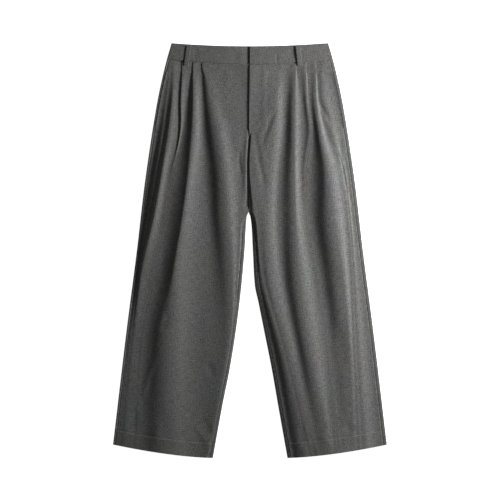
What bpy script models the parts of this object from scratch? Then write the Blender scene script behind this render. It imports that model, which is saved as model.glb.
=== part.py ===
"""Pleated dress trousers, laid flat with their front side up, at real size.

Every pattern piece is its own cloth wall: two fronts, two backs that wrap round
the side edges, two waistband halves, two belt loops and two pocket facings.
X runs across the garment with +X on the wearer's left, +Y runs towards the
waistband and +Z points up. The origin is the middle of the underside.
Lengths in this file are millimetres until a point is placed.
"""

import math
from collections import namedtuple

import bmesh
import bpy

MM = 0.001

# Driving dimensions
TOP_CORNER_Y = 529.0      # top of the waistband at the side edges
TOP_DIP = 8.0             # how far the waistband's top edge sags at the centre
WAIST_SEAM_Y = 475.6      # waist seam at the centre front
WAIST_SEAM_RISE = 12.4    # how far that seam climbs towards the side edges
WAIST_HALF_WIDTH = 200.0  # half of the folded waist
HIP_SEAM_HALF_WIDTH = 213.0
HEM_OUTER_X = 349.4       # outer hem corner from the centre line
HEM_OUTER_Y = -495.0
HEM_INNER_DROP = 34.0     # how much lower the inner hem corner lies
HEM_WIDTH = 255.0
HEM_CURVE = 1.6           # how early the hem line falls

CLOTH = 1.1               # suiting wall
BAND_CLOTH = 2.2          # interfaced waistband wall
LOOP_CLOTH = 1.4
SEAM_GAP = 0.3
SEAM_INSET = 8.0          # side seam to folded edge
EDGE_RADIUS = 1.55        # folded edge, at mid wall
BAND_EDGE_RADIUS = 1.7
LIP_Z = CLOTH / 2 + 2 * EDGE_RADIUS
BAND_Z = BAND_CLOTH / 2 + 2 * BAND_EDGE_RADIUS

FLY_BASE_Y = 307.0
FLY_LAP = 1.3             # how far the left front laps past the centre line
FLY_UNDERLAP = 18.0       # how far the right front carries on beneath it
FLY_LAP_Z = 3.75
FLY_UNDERLAP_Z = 2.0
FLY_PARTING_RUN = 22.0    # length over which the two layers part, just below the base
FLY_LAP_START = 4.0       # they are apart this far below the base, where the lap begins
FLY_LAP_RUN = 10.0        # length over which the lap reaches its full width
FLY_UNDERLAP_RUN = 26.0
SIDE_EASE = 5.0           # the front lies level this far from its side seam
SIDE_EASE_COLUMNS = 2
POCKET_TOP_Y = 462.0
POCKET_BASE_Y = 300.0
POCKET_MOUTH = 1.5        # how far the pocket mouth stands open
POCKET_TOP_TAPER = 12.0   # length over which it closes at its top
POCKET_BASE_TAPER = 25.0
FACING_WIDTH = 11.0
FACING_INSET = 4.0        # its outer edge from the folded side edge
FACING_Z = 1.95
FACING_ROWS = 6
FACING_COLUMNS = 2

# Half width of the garment's folded side edge, from the waist to the hem.
SIDE_EDGE = {
    527: 200.5, 482: 213.5, 425: 227.0, 370: 238.0, 275: 253.5, 155: 270.5,
    0: 288.5, -205: 315.0, -495: 349.4,
}
# Distance of each leg's inner folded edge from the centre line, below the crotch.
INNER_EDGE_RIGHT = {
    215: 0.15, 180: 1.2, 95: 1.4, 50: 9.0, 0: 12.8, -100: 22.5, -200: 35.0,
    -300: 51.0, -400: 71.0, -529: 94.4,
}
INNER_EDGE_LEFT = {
    215: 0.15, 180: 1.2, 95: 1.2, 50: 3.0, 0: 7.0, -90: 12.5, -130: 21.0,
    -200: 35.0, -300: 55.0, -400: 72.5, -529: 95.5,
}
# Below the crotch the back's edge curls up round the inner leg. Each row gives the
# angle it turns through, the lip beyond that, how far in the front's edge lies, the
# height of that edge, and how far the front runs level before it rises. The thighs
# hide the inseam where they touch, so the front lies over the lip there.
FULL_LIP = SEAM_INSET - EDGE_RADIUS - CLOTH / 2
FULL_INSET = SEAM_INSET + SEAM_GAP
InnerCurl = namedtuple("InnerCurl", "y turn lip inset height level")
INNER_CURL = (
    InnerCurl(290.0, 0.0, 0.4, 0.0, 2.4, 3.5),
    InnerCurl(212.0, 0.0, 0.4, 0.0, 2.5, 2.0),
    InnerCurl(198.0, 90.0, 0.4, 0.3, 3.5, 1.5),
    InnerCurl(186.0, 180.0, 0.6, 0.5, 5.1, 1.2),
    InnerCurl(150.0, 180.0, FULL_LIP, 0.5, 5.1, 1.2),
    InnerCurl(98.0, 180.0, FULL_LIP, 0.5, 5.1, 1.2),
    InnerCurl(66.0, 180.0, FULL_LIP, FULL_INSET, 5.1, 2.0),
    InnerCurl(37.0, 180.0, FULL_LIP, FULL_INSET, LIP_Z, 3.5),
)
CURL_RUN_UP = 3.0         # flat cloth counted with the curl, so its columns spread out

# The fold lines of a front, from the side seam to the centre. Each row gives the
# line's distance from the centre line, its height and its roundness next to its
# neighbours', at these distances below the waist seam. A pleat is folded over
# where its foot lies nearer the centre than its edge, and opens out below that.
DROPS = (0, 40, 100, 180, 280, 400, 540, 720, 1000)
FoldLine = namedtuple("FoldLine", "name columns x z round")
RIGHT_FRONT_FOLDS = (
    FoldLine("side_ridge", 3,
             (195, 195, 200, 211, 227, 247, 275, 300, 328),
             (4.2, 6.8, 9.0, 11.0, 12.8, 12.5, 9.5, 5.4, 4.6),
             (1, 1, 1, 1, 1, 1, 1, 2, 3)),
    FoldLine("side_pleat_foot", 3,
             (169, 179, 186, 191, 209, 224, 247, 286, 310),
             (2.4, 3.6, 5.0, 6.6, 7.1, 7.5, 6.7, 4.7, 4.9),
             (8, 3, 2, 2, 2, 2, 2, 3, 3)),
    FoldLine("side_pleat_edge", 6,
             (174, 174.5, 178, 181, 201, 219, 242, 280, 298),
             (6.0, 5.9, 6.4, 7.0, 7.1, 7.5, 6.7, 4.7, 5.2),
             (6, 2, 1, 1, 2, 3, 3, 3, 3)),
    FoldLine("middle_pleat_foot", 3,
             (139.5, 150, 160, 172, 194, 214, 237, 274, 287),
             (2.4, 3.0, 4.0, 6.0, 7.2, 7.6, 6.8, 4.8, 5.5),
             (8, 3, 3, 3, 3, 3, 3, 3, 3)),
    FoldLine("middle_pleat_edge", 6,
             (144.5, 144, 144, 146.5, 157, 172, 196, 209, 214),
             (6.0, 7.0, 9.2, 12.4, 15.0, 15.0, 13.8, 12.0, 10.5),
             (6, 1, 1, 1, 1, 1, 2, 4, 4)),
    FoldLine("front_pleat_foot", 3,
             (117.5, 125, 126, 124, 120, 112, 112, 127, 134),
             (2.4, 2.8, 2.8, 2.8, 3.0, 3.2, 3.4, 3.8, 4.6),
             (8, 2, 2, 2, 2, 2, 2, 3, 3)),
    FoldLine("front_pleat_edge", 6,
             (122.5, 111, 103, 85, 67, 57, 52, 66, 114),
             (6.0, 6.0, 7.4, 10.4, 12.2, 12.2, 10.8, 6.8, 5.8),
             (6, 1, 1, 2, 2, 2, 2, 2, 2)),
)
LEFT_FRONT_FOLDS = (
    FoldLine("side_ridge", 3,
             (194, 184, 196, 214, 240, 255, 265, 273, 287),
             (4.0, 4.8, 6.8, 8.6, 9.6, 9.4, 8.6, 7.4, 6.4),
             (2, 2, 2, 2, 2, 2, 2, 3, 3)),
    FoldLine("side_pleat_foot", 3,
             (164.5, 171, 177, 200, 232, 247, 257, 264, 276),
             (2.4, 3.6, 5.6, 7.8, 9.2, 9.5, 9.0, 7.8, 7.0),
             (8, 2, 1, 1, 2, 2, 3, 3, 3)),
    FoldLine("side_pleat_edge", 6,
             (169.5, 168, 169.5, 177, 194, 211, 232, 250, 261),
             (6.0, 6.9, 9.2, 13.2, 16.0, 16.0, 13.4, 9.6, 8.0),
             (6, 1, 1, 1, 1, 1, 2, 3, 3)),
    FoldLine("middle_pleat_foot", 3,
             (139.5, 148, 152, 154, 139, 150, 170, 202, 224),
             (2.4, 3.4, 4.2, 5.4, 3.4, 3.2, 3.2, 5.6, 8.2),
             (8, 2, 1, 1, 4, 4, 3, 3, 3)),
    FoldLine("middle_pleat_edge", 6,
             (144.5, 144, 148, 149, 135, 145, 166, 198, 217),
             (6.0, 6.0, 5.8, 5.8, 3.3, 3.1, 3.2, 5.6, 8.4),
             (6, 1, 1, 1, 3, 3, 3, 3, 3)),
    FoldLine("front_pleat_foot", 3,
             (114, 123, 131, 133, 131, 140, 162, 194, 209),
             (2.4, 3.0, 3.4, 3.6, 3.2, 3.0, 3.2, 5.6, 8.6),
             (8, 2, 2, 2, 2, 2, 2, 2, 2)),
    FoldLine("front_pleat_edge", 6,
             (119, 115, 114, 113.5, 113.5, 117, 125, 148, 199),
             (6.0, 6.6, 7.8, 9.0, 9.2, 9.6, 9.8, 9.8, 8.8),
             (6, 1, 1, 1, 1, 1, 2, 2, 2)),
    FoldLine("front_groove", 2,
             (96, 92, 89, 85, 75, 72, 86, 113, 150),
             (3.0, 2.6, 2.6, 2.6, 2.6, 2.6, 3.4, 5.4, 7.0),
             (1, 1, 1, 1, 1, 1, 1, 1, 1)),
    FoldLine("thigh_ridge", 3,
             (71, 69, 66, 55, 41, 38, 52, 89, 140),
             (3.4, 5.0, 7.6, 9.8, 10.8, 10.5, 9.6, 8.6, 6.9),
             (1, 1, 1, 2, 2, 2, 2, 2, 2)),
    FoldLine("inner_ridge", 3,
             (46, 43, 38, 20, 9, 20, 31, 63, 118),
             (3.6, 3.8, 4.2, 5.8, 8.8, 9.0, 7.6, 6.4, 5.6),
             (1, 1, 1, 1, 1, 2, 2, 2, 2)),
)
CENTRE_COLUMNS = 4        # last fold line to the rolled centre edge
EDGE_COLUMNS = 1          # rolled centre edge to the cut edge
SIDE_ROUND = 6
CENTRE_ROUND = 1
SHARP_BEND_WEIGHT = 2.0   # gives a short arc its share of the columns
SHORTEST_ARC = 0.5        # an arc under this length gets no extra share
LEVEL_ANGLE = 1e-4        # radians

# Rows of the leg panels, as distances below the waist seam at the centre.
LEG_ROWS = (
    0, 12, 26, 42, 62, 85, 110, 135, 155, 170, 190, 215, 240, 258, 268, 277,
    288, 304, 325, 352, 380, 410, 440, 470, 500, 530, 565, 605, 650, 700, 760, 820,
    880, 940, 1000,
)
LEG_DROP = 1000.0
SETTLE_STEPS = 6
BACK_FLAT_COLUMNS = 4
CURL_COLUMNS = 6

BAND_ROWS = 2
BAND_BACK_COLUMNS = 4
BAND_CURL_COLUMNS = 8
BAND_FRONT_COLUMNS = 8
BAND_FLY_CROWDING = 1.5   # how strongly the front columns crowd towards the fly
BAND_LIP = 1.0
BAND_UNDERLAP = 28.0      # how far the right half carries on beneath the left one
BAND_UNDERLAP_SINK = 0.9
BAND_UNDERLAP_LEVEL = 3.0  # it has sunk in full by here
BAND_LAP_RISE = 1.6       # how far the left half climbs over the right one
BAND_LAP_RUN = 62.0       # the climb begins here
BAND_LAP_LEVEL = 30.0     # and ends here

BeltLoop = namedtuple("BeltLoop", "name top_x foot_x foot_z")
BELT_LOOPS = (
    BeltLoop("belt_loop_right", -152.5, -159.5, 7.0),
    BeltLoop("belt_loop_left", 121.5, 127.0, 7.2),
)
LOOP_WIDTH = 11.5
LOOP_TOP_Y = 522.0
LOOP_FOOT_Y = 471.0
LOOP_SEAT_Z = 6.7         # where the loop is sewn down on the waistband
LOOP_STANDOFF = 2.2       # how far it stands off for the belt
LOOP_RISE_END = 0.22      # shares of its length: where it stands off in full,
LOOP_FALL_START = 0.62    # where it starts to come down,
LOOP_FALL_END = 0.84      # where it is down,
LOOP_FOOT_START = 0.86    # and where its foot steps to the front below the band
LOOP_ROWS = 14
LOOP_COLUMNS = 2


def smoothstep(low, high, value):
    t = min(max((value - low) / (high - low), 0.0), 1.0)
    return t * t * (3 - 2 * t)


def along(stations, values, at):
    """A smooth curve through the values, read at one place along the stations."""
    if stations[0] > stations[-1]:
        stations, values = stations[::-1], values[::-1]
    last = len(stations) - 1
    at = min(max(at, stations[0]), stations[-1])
    k = max(i for i in range(last) if stations[i] <= at or i == 0)
    run = stations[k + 1] - stations[k]

    def slope(i):
        before, after = max(i - 1, 0), min(i + 1, last)
        return (values[after] - values[before]) / (stations[after] - stations[before])

    t = (at - stations[k]) / run
    return ((2 * t**3 - 3 * t**2 + 1) * values[k]
            + (t**3 - 2 * t**2 + t) * run * slope(k)
            + (3 * t**2 - 2 * t**3) * values[k + 1]
            + (t**3 - t**2) * run * slope(k + 1))


def edge_at(table, y):
    return along(tuple(table), tuple(table.values()), y)


def waist_seam_y(x):
    return WAIST_SEAM_Y + WAIST_SEAM_RISE * (x / HIP_SEAM_HALF_WIDTH) ** 2


def top_edge_y(x):
    return TOP_CORNER_Y - TOP_DIP + TOP_DIP * (x / WAIST_HALF_WIDTH) ** 2


def hem_y(x):
    t = min(max((HEM_OUTER_X - abs(x)) / HEM_WIDTH, 0.0), 1.0)
    return HEM_OUTER_Y - HEM_INNER_DROP * (1 - (1 - t) ** HEM_CURVE)


def leg_y(x, drop):
    """Y of a leg panel's row where it crosses x."""
    seam = waist_seam_y(x) - SEAM_GAP / 2
    return seam + (hem_y(x) - seam) * drop / LEG_DROP


def settle(x_at_y, drop):
    """The x where a row meets an edge that is known by its y."""
    x = HIP_SEAM_HALF_WIDTH
    for _ in range(SETTLE_STEPS):
        x = x_at_y(leg_y(x, drop))
    return x


def s_bend(start, end, first_share, segments):
    """Points from start to end, level at both ends: an arc, a flank and an arc.

    It is a hairpin, folded back under itself, where the end lies behind the start
    in the direction of travel, and a soft slope where it lies well ahead.
    first_share is how much of the two arcs' radii the first arc has.
    """
    run, rise = end[0] - start[0], end[1] - start[1]
    span = math.hypot(run, rise)
    lean = math.atan2(abs(rise), run)
    if lean < LEVEL_ANGLE:
        return [(start[0] + run * i / segments, start[1]) for i in range(segments + 1)]
    turn = min(2 * lean, math.pi)
    radii = span * math.sin(turn - lean) / (1 - math.cos(turn))
    flank = max(span * math.sin(lean - turn / 2) / math.sin(turn / 2), 0.0)
    first, last = radii * first_share, radii * (1 - first_share)
    lengths = (first * turn, flank, last * turn)
    weights = [length + SHARP_BEND_WEIGHT * (length > SHORTEST_ARC) for length in lengths]
    total = sum(weights)
    up = math.copysign(1.0, rise)
    points = []
    for i in range(segments + 1):
        at = total * i / segments
        if at <= weights[0]:
            angle = turn * at / weights[0]
            x, z = first * math.sin(angle), first * (1 - math.cos(angle))
        elif at < weights[0] + weights[1]:
            t = flank * (at - weights[0]) / weights[1]
            x = first * math.sin(turn) + t * math.cos(turn)
            z = first * (1 - math.cos(turn)) + t * math.sin(turn)
        else:
            angle = turn * (total - at) / weights[2]
            x = run - last * math.sin(angle)
            z = abs(rise) - last * (1 - math.cos(angle))
        points.append((start[0] + x, start[1] + up * z))
    return points


def inner_edge(side, y):
    return edge_at(INNER_EDGE_LEFT if side > 0 else INNER_EDGE_RIGHT, y)


def inner_curl(field, y):
    stations = [row.y for row in INNER_CURL]
    values = [getattr(row, field) for row in INNER_CURL]
    y = min(max(y, stations[-1]), stations[0])
    for k in range(len(stations) - 1):
        if y >= stations[k + 1]:
            t = smoothstep(stations[k], stations[k + 1], y)
            return values[k] + (values[k + 1] - values[k]) * t
    return values[-1]


def front_outer_x(y):
    mouth = POCKET_MOUTH * smoothstep(POCKET_BASE_Y, POCKET_BASE_Y + POCKET_BASE_TAPER, y)
    mouth *= 1 - smoothstep(POCKET_TOP_Y - POCKET_TOP_TAPER, POCKET_TOP_Y, y)
    return edge_at(SIDE_EDGE, y) - SEAM_INSET - SEAM_GAP - mouth


def front_centre_edge(side, y):
    """(x, z) of a front's centre edge: the fly, the crotch seam or the inseam."""
    seam_x = inner_edge(side, y) + inner_curl("inset", y)
    seam_z = inner_curl("height", y)
    lap_y = FLY_BASE_Y - FLY_LAP_START
    parting = smoothstep(lap_y - FLY_PARTING_RUN, lap_y, y)
    if side > 0:
        lap = smoothstep(lap_y, lap_y + FLY_LAP_RUN, y)
        return (seam_x + (-FLY_LAP - seam_x) * lap,
                seam_z + (FLY_LAP_Z - seam_z) * parting)
    lap = smoothstep(FLY_BASE_Y, FLY_BASE_Y + FLY_UNDERLAP_RUN, y)
    return (seam_x + (-FLY_UNDERLAP - seam_x) * lap,
            seam_z + (FLY_UNDERLAP_Z - seam_z) * parting)


def front_section(side, folds, drop):
    """(x, z) of each column of a front's row, from the side seam to the centre."""
    outer_x = settle(front_outer_x, drop)
    knots = [(SIDE_EASE_COLUMNS, SIDE_ROUND, outer_x - SIDE_EASE, LIP_Z)]
    knots += [(fold.columns, along(DROPS, fold.round, drop), along(DROPS, fold.x, drop),
               along(DROPS, fold.z, drop)) for fold in folds]
    centre_y = leg_y(0.0, drop)
    edge_x, edge_z = front_centre_edge(side, centre_y)
    level_x = max(edge_x, 0.0) + inner_curl("level", centre_y)
    knots.append((CENTRE_COLUMNS, CENTRE_ROUND, level_x, edge_z))
    knots.append((EDGE_COLUMNS, CENTRE_ROUND, edge_x, edge_z))
    points = [(outer_x, LIP_Z)]
    last_round = SIDE_ROUND
    for columns, roundness, x, z in knots:
        start = points[-1]
        share = last_round / (last_round + roundness)
        bend = s_bend((-start[0], start[1]), (-x, z), share, columns)
        points += [(-px, pz) for px, pz in bend[1:]]
        last_round = roundness
    return points


def curled_edge(turn, radius, lip, wall, fold_x, segments):
    """(x, z) points of a wall that leaves the table at a folded edge and curls over.

    turn is the angle it curls through and lip the straight cloth beyond it. The
    wall reaches no farther out than fold_x.
    """
    length = CURL_RUN_UP + turn * radius + lip
    points = []
    reach = -math.inf
    for i in range(segments + 1):
        arc_length = length * i / segments - CURL_RUN_UP
        angle = min(max(arc_length / radius, 0.0), turn)
        straight = arc_length - angle * radius
        x = radius * math.sin(angle) + straight * math.cos(angle)
        z = radius * (1 - math.cos(angle)) + straight * math.sin(angle)
        points.append((x, wall / 2 + z))
        reach = max(reach, x + wall / 2 * math.sin(angle))
    if turn >= math.pi / 2:
        reach = radius + wall / 2
    return [(x + fold_x - reach, z) for x, z in points]


def back_section(side, drop):
    """(x, z) of each column of a back's row, from its side seam lip to its inner lip."""
    outer_fold = settle(lambda edge_y: edge_at(SIDE_EDGE, edge_y), drop)
    outer = curled_edge(math.pi, EDGE_RADIUS, FULL_LIP, CLOTH, outer_fold, CURL_COLUMNS)
    y = leg_y(0.0, drop)
    inner_fold = settle(lambda edge_y: inner_edge(side, edge_y), drop)
    inner = curled_edge(math.radians(inner_curl("turn", y)), EDGE_RADIUS,
                        inner_curl("lip", y), CLOTH, -inner_fold, CURL_COLUMNS)
    inner = [(-x, z) for x, z in inner]
    flat = [(outer[0][0] + (inner[0][0] - outer[0][0]) * i / BACK_FLAT_COLUMNS, CLOTH / 2)
            for i in range(1, BACK_FLAT_COLUMNS)]
    return outer[::-1] + flat + inner


def cloth_piece(name, sections, wall, material):
    """A cloth wall through rows of (x, y, z) points, in a grid that Solidify thickens."""
    rows, columns = len(sections), len(sections[0])
    mesh = bmesh.new()
    bmesh.ops.create_grid(mesh, x_segments=columns - 1, y_segments=rows - 1, size=1.0)
    for vert in mesh.verts:
        column = round((vert.co.x + 1) / 2 * (columns - 1))
        row = round((1 - vert.co.y) / 2 * (rows - 1))
        vert.co = [value * MM for value in sections[row][column]]
    data = bpy.data.meshes.new(name)
    mesh.to_mesh(data)
    mesh.free()
    data.shade_smooth()
    data.materials.append(material)
    piece = bpy.data.objects.new(name, data)
    trousers.objects.link(piece)
    thickness = piece.modifiers.new("Wall", "SOLIDIFY")
    thickness.thickness = wall * MM
    thickness.offset = 0.0
    return piece


def make_front(name, side, folds):
    sections = []
    for drop in LEG_ROWS:
        section = front_section(side, folds, drop)
        sections.append([(side * x, leg_y(x, drop), z) for x, z in section])
    return cloth_piece(name, sections, CLOTH, suiting)


def make_back(name, side):
    sections = []
    for drop in LEG_ROWS:
        section = back_section(side, drop)
        sections.append([(side * x, leg_y(x, drop), z) for x, z in section])
    return cloth_piece(name, sections, CLOTH, suiting)


def band_height(side, x):
    """Mid-wall height of the waistband's front layer."""
    if side > 0:
        return BAND_Z + BAND_LAP_RISE * smoothstep(BAND_LAP_RUN, BAND_LAP_LEVEL, x)
    return BAND_Z - BAND_UNDERLAP_SINK * smoothstep(BAND_UNDERLAP, BAND_UNDERLAP_LEVEL, x)


def band_section(side, fold_x):
    """(x, z) of a waistband row: the back layer, the folded side edge, the front layer."""
    curl = curled_edge(math.pi, BAND_EDGE_RADIUS, BAND_LIP, BAND_CLOTH, fold_x,
                       BAND_CURL_COLUMNS)
    centre_x = SEAM_GAP / 2
    points = [(centre_x + (curl[0][0] - centre_x) * i / BAND_BACK_COLUMNS, BAND_CLOTH / 2)
              for i in range(BAND_BACK_COLUMNS)]
    points += curl
    start_x = curl[-1][0]
    end_x = -FLY_LAP if side > 0 else -BAND_UNDERLAP
    for i in range(1, BAND_FRONT_COLUMNS + 1):
        share = 1 - (1 - i / BAND_FRONT_COLUMNS) ** BAND_FLY_CROWDING
        x = start_x + (end_x - start_x) * share
        points.append((x, band_height(side, x)))
    return points


def make_waistband(name, side):
    corner_foot_y = WAIST_SEAM_Y + WAIST_SEAM_RISE
    sections = []
    for row in range(BAND_ROWS + 1):
        t = row / BAND_ROWS
        fold_x = edge_at(SIDE_EDGE, TOP_CORNER_Y + (corner_foot_y - TOP_CORNER_Y) * t)
        section = []
        for x, z in band_section(side, fold_x):
            top_y, foot_y = top_edge_y(x), waist_seam_y(x) + SEAM_GAP / 2
            section.append((side * x, top_y + (foot_y - top_y) * t, z))
        sections.append(section)
    return cloth_piece(name, sections, BAND_CLOTH, suiting)


def make_belt_loop(loop):
    sections = []
    for row in range(LOOP_ROWS + 1):
        t = row / LOOP_ROWS
        middle = loop.top_x + (loop.foot_x - loop.top_x) * t
        y = LOOP_TOP_Y + (LOOP_FOOT_Y - LOOP_TOP_Y) * t
        foot = (loop.foot_z - LOOP_SEAT_Z) * smoothstep(LOOP_FOOT_START, 1.0, t)
        lift = smoothstep(0.0, LOOP_RISE_END, t)
        lift *= 1 - smoothstep(LOOP_FALL_START, LOOP_FALL_END, t)
        z = LOOP_SEAT_Z + foot + LOOP_STANDOFF * lift
        sections.append([(middle + LOOP_WIDTH * (i / LOOP_COLUMNS - 0.5), y, z)
                         for i in range(LOOP_COLUMNS + 1)])
    return cloth_piece(loop.name, sections, LOOP_CLOTH, suiting)


def make_pocket_facing(name, side):
    """The strip that shows through the open pocket mouth."""
    sections = []
    for row in range(FACING_ROWS + 1):
        y = POCKET_TOP_Y + (POCKET_BASE_Y - POCKET_TOP_Y) * row / FACING_ROWS
        outer_x = edge_at(SIDE_EDGE, y) - FACING_INSET
        sections.append([(side * (outer_x - FACING_WIDTH * i / FACING_COLUMNS), y, FACING_Z)
                         for i in range(FACING_COLUMNS + 1)])
    return cloth_piece(name, sections, CLOTH, suiting)


def make_material(name, colour, roughness):
    material = bpy.data.materials.new(name)
    material.use_nodes = True
    shader = material.node_tree.nodes["Principled BSDF"]
    shader.inputs["Base Color"].default_value = (*colour, 1.0)
    shader.inputs["Roughness"].default_value = roughness
    return material


for old in list(bpy.data.objects):
    bpy.data.objects.remove(old)
trousers = bpy.data.collections.new("pleated_trousers")
bpy.context.scene.collection.children.link(trousers)
suiting = make_material("grey_suiting", (0.115, 0.115, 0.113), 0.85)

make_front("front_right", -1, RIGHT_FRONT_FOLDS)
make_front("front_left", 1, LEFT_FRONT_FOLDS)
make_back("back_right", -1)
make_back("back_left", 1)
make_waistband("waistband_right", -1)
make_waistband("waistband_left", 1)
for belt_loop in BELT_LOOPS:
    make_belt_loop(belt_loop)
make_pocket_facing("pocket_facing_right", -1)
make_pocket_facing("pocket_facing_left", 1)
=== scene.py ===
# %% [markdown]
# # Pleated dress trousers, laid flat
# This lesson dresses a rigid model of wide-leg dress trousers in real-looking cloth.
# The model gives the place and size of every pattern piece. Here each piece is made
# again as a thin, finely divided cloth wall with its pleats, soft folds, seams and
# stitches, and then woven, lit and filmed from straight above.

# %% Load the frame
import math
from collections import namedtuple

import bmesh
import bpy
import numpy as np
from mathutils import Matrix, Vector, noise
from mathutils.bvhtree import BVHTree


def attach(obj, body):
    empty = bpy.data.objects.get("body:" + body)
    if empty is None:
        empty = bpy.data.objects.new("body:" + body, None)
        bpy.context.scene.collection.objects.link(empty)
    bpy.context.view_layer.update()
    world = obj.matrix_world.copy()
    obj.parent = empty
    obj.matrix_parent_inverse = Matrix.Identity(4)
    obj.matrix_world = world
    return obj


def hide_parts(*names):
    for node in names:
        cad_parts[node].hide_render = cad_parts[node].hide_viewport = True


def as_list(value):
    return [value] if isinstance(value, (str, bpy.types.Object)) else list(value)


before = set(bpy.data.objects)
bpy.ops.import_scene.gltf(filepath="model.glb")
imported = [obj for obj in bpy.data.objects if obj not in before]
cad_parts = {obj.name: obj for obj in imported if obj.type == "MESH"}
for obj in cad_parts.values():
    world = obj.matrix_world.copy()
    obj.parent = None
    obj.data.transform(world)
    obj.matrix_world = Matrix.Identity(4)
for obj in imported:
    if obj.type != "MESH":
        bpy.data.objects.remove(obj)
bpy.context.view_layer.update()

# %% [markdown]
# ## Sizes
# A pattern cutter works in millimetres, so the script does too, and MM turns a length
# into metres only when a point is placed. X runs across the garment, with +X on the
# wearer's left, Y towards the waistband and Z up from the table. These are the sizes
# that the pieces share: where two pieces meet, both read the same value, so a seam
# can't open or cross.

# %% Driving sizes
MM = 0.001

TOP_CORNER_Y = 529.0      # top of the waistband at the side edges
TOP_DIP = 8.0             # how far its top edge sags at the centre
WAIST_SEAM_Y = 475.6      # waist seam at the centre front
WAIST_SEAM_RISE = 12.4    # how far that seam climbs towards the sides
WAIST_HALF_WIDTH = 200.0
HIP_SEAM_HALF_WIDTH = 213.0
HEM_OUTER_X = 349.4
HEM_OUTER_Y = -495.0
HEM_INNER_DROP = 34.0     # how much lower the inner hem corner lies
HEM_WIDTH = 255.0
HEM_CURVE = 1.6           # how early the hem line falls

CLOTH = 0.7               # suiting wall
SEAM_GAP = 0.3
SEAM_INSET = 8.0          # inseam to folded edge
SIDE_SEAM_INSET = {-1: 5.4, 1: 9.0}   # side seam to folded edge: right, left
EDGE_RADIUS = 1.65        # folded edge, at mid wall
LIP_Z = CLOTH / 2 + 2 * EDGE_RADIUS

FLY_BASE_Y = 307.0
POCKET_TOP_Y = 462.0
POCKET_BASE_Y = 300.0
print("waist", 4 * WAIST_HALF_WIDTH, "mm round, hem", 2 * HEM_WIDTH, "mm round")

# %% [markdown]
# ## The outline
# Tape-measure notes are enough for an outline: a half width at a few heights, joined
# by a smooth curve. A spline object would do the same, but a small function can be
# read at any height, which the cloth needs at every one of its rows.

# %% Smooth curves
def smoothstep(low, high, value):
    t = np.clip((value - low) / (high - low), 0.0, 1.0)
    return t * t * (3 - 2 * t)


def along(stations, values, at):
    """A smooth curve through the values, read at one place along the stations."""
    if stations[0] > stations[-1]:
        stations, values = stations[::-1], values[::-1]
    last = len(stations) - 1
    at = min(max(at, stations[0]), stations[-1])
    k = max(i for i in range(last) if stations[i] <= at or i == 0)
    run = stations[k + 1] - stations[k]

    def slope(i):
        before, after = max(i - 1, 0), min(i + 1, last)
        return (values[after] - values[before]) / (stations[after] - stations[before])

    t = (at - stations[k]) / run
    return ((2 * t**3 - 3 * t**2 + 1) * values[k]
            + (t**3 - 2 * t**2 + t) * run * slope(k)
            + (3 * t**2 - 2 * t**3) * values[k + 1]
            + (t**3 - t**2) * run * slope(k + 1))


print("a smooth step a quarter of the way:", round(float(smoothstep(0, 1, 0.25)), 3))

# %% Side and inner edges
SIDE_EDGE = {
    527: 200.5, 482: 213.5, 425: 227.0, 370: 238.0, 275: 253.5, 155: 270.5,
    0: 288.5, -205: 315.0, -495: 349.4,
}
INNER_EDGE_RIGHT = {
    300: 1.0, 260: 3.1, 208: 4.8, 180: 4.8, 140: 4.0, 110: 3.5, 98: 3.7, 89: 8.0, 71: 9.6,
    50: 10.8, 0: 13.4, -100: 22.5, -200: 35.0, -300: 51.0, -400: 71.0, -529: 94.4,
}
INNER_EDGE_LEFT = {
    300: -1.1, 260: -3.2, 208: -4.9, 180: -4.9, 140: -4.1, 110: -3.6, 98: -3.6, 89: 0.2,
    71: 3.0, 50: 4.8, 0: 7.2, -90: 12.5, -130: 21.0, -200: 35.0, -300: 55.0, -400: 72.5,
    -529: 95.5,
}


def edge_at(table, y):
    return along(tuple(table), tuple(table.values()), y)


def inner_edge(side, y):
    return edge_at(INNER_EDGE_LEFT if side > 0 else INNER_EDGE_RIGHT, y)


print("width at the foot of the fly:", round(2 * edge_at(SIDE_EDGE, FLY_BASE_Y)), "mm")

# %% Waist, hem and the rows between them
LEG_DROP = 1000.0         # a leg panel's rows are counted in thousandths of its length
SETTLE_STEPS = 6


def waist_seam_y(x):
    return WAIST_SEAM_Y + WAIST_SEAM_RISE * (x / HIP_SEAM_HALF_WIDTH) ** 2


def top_edge_y(x):
    return TOP_CORNER_Y - TOP_DIP + TOP_DIP * (x / WAIST_HALF_WIDTH) ** 2


def hem_y(x):
    t = min(max((HEM_OUTER_X - abs(x)) / HEM_WIDTH, 0.0), 1.0)
    return HEM_OUTER_Y - HEM_INNER_DROP * (1 - (1 - t) ** HEM_CURVE)


def leg_y(x, drop):
    """Y of a leg panel's row where it crosses x."""
    seam = waist_seam_y(x) - SEAM_GAP / 2
    return seam + (hem_y(x) - seam) * drop / LEG_DROP


def settle(x_at_y, drop):
    """The x where a row meets an edge that is known by its y."""
    x = HIP_SEAM_HALF_WIDTH
    for _ in range(SETTLE_STEPS):
        x = x_at_y(leg_y(x, drop))
    return x


print("leg length along the side edge:",
      round(leg_y(HIP_SEAM_HALF_WIDTH, 0) - leg_y(HEM_OUTER_X, LEG_DROP)), "mm")
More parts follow.
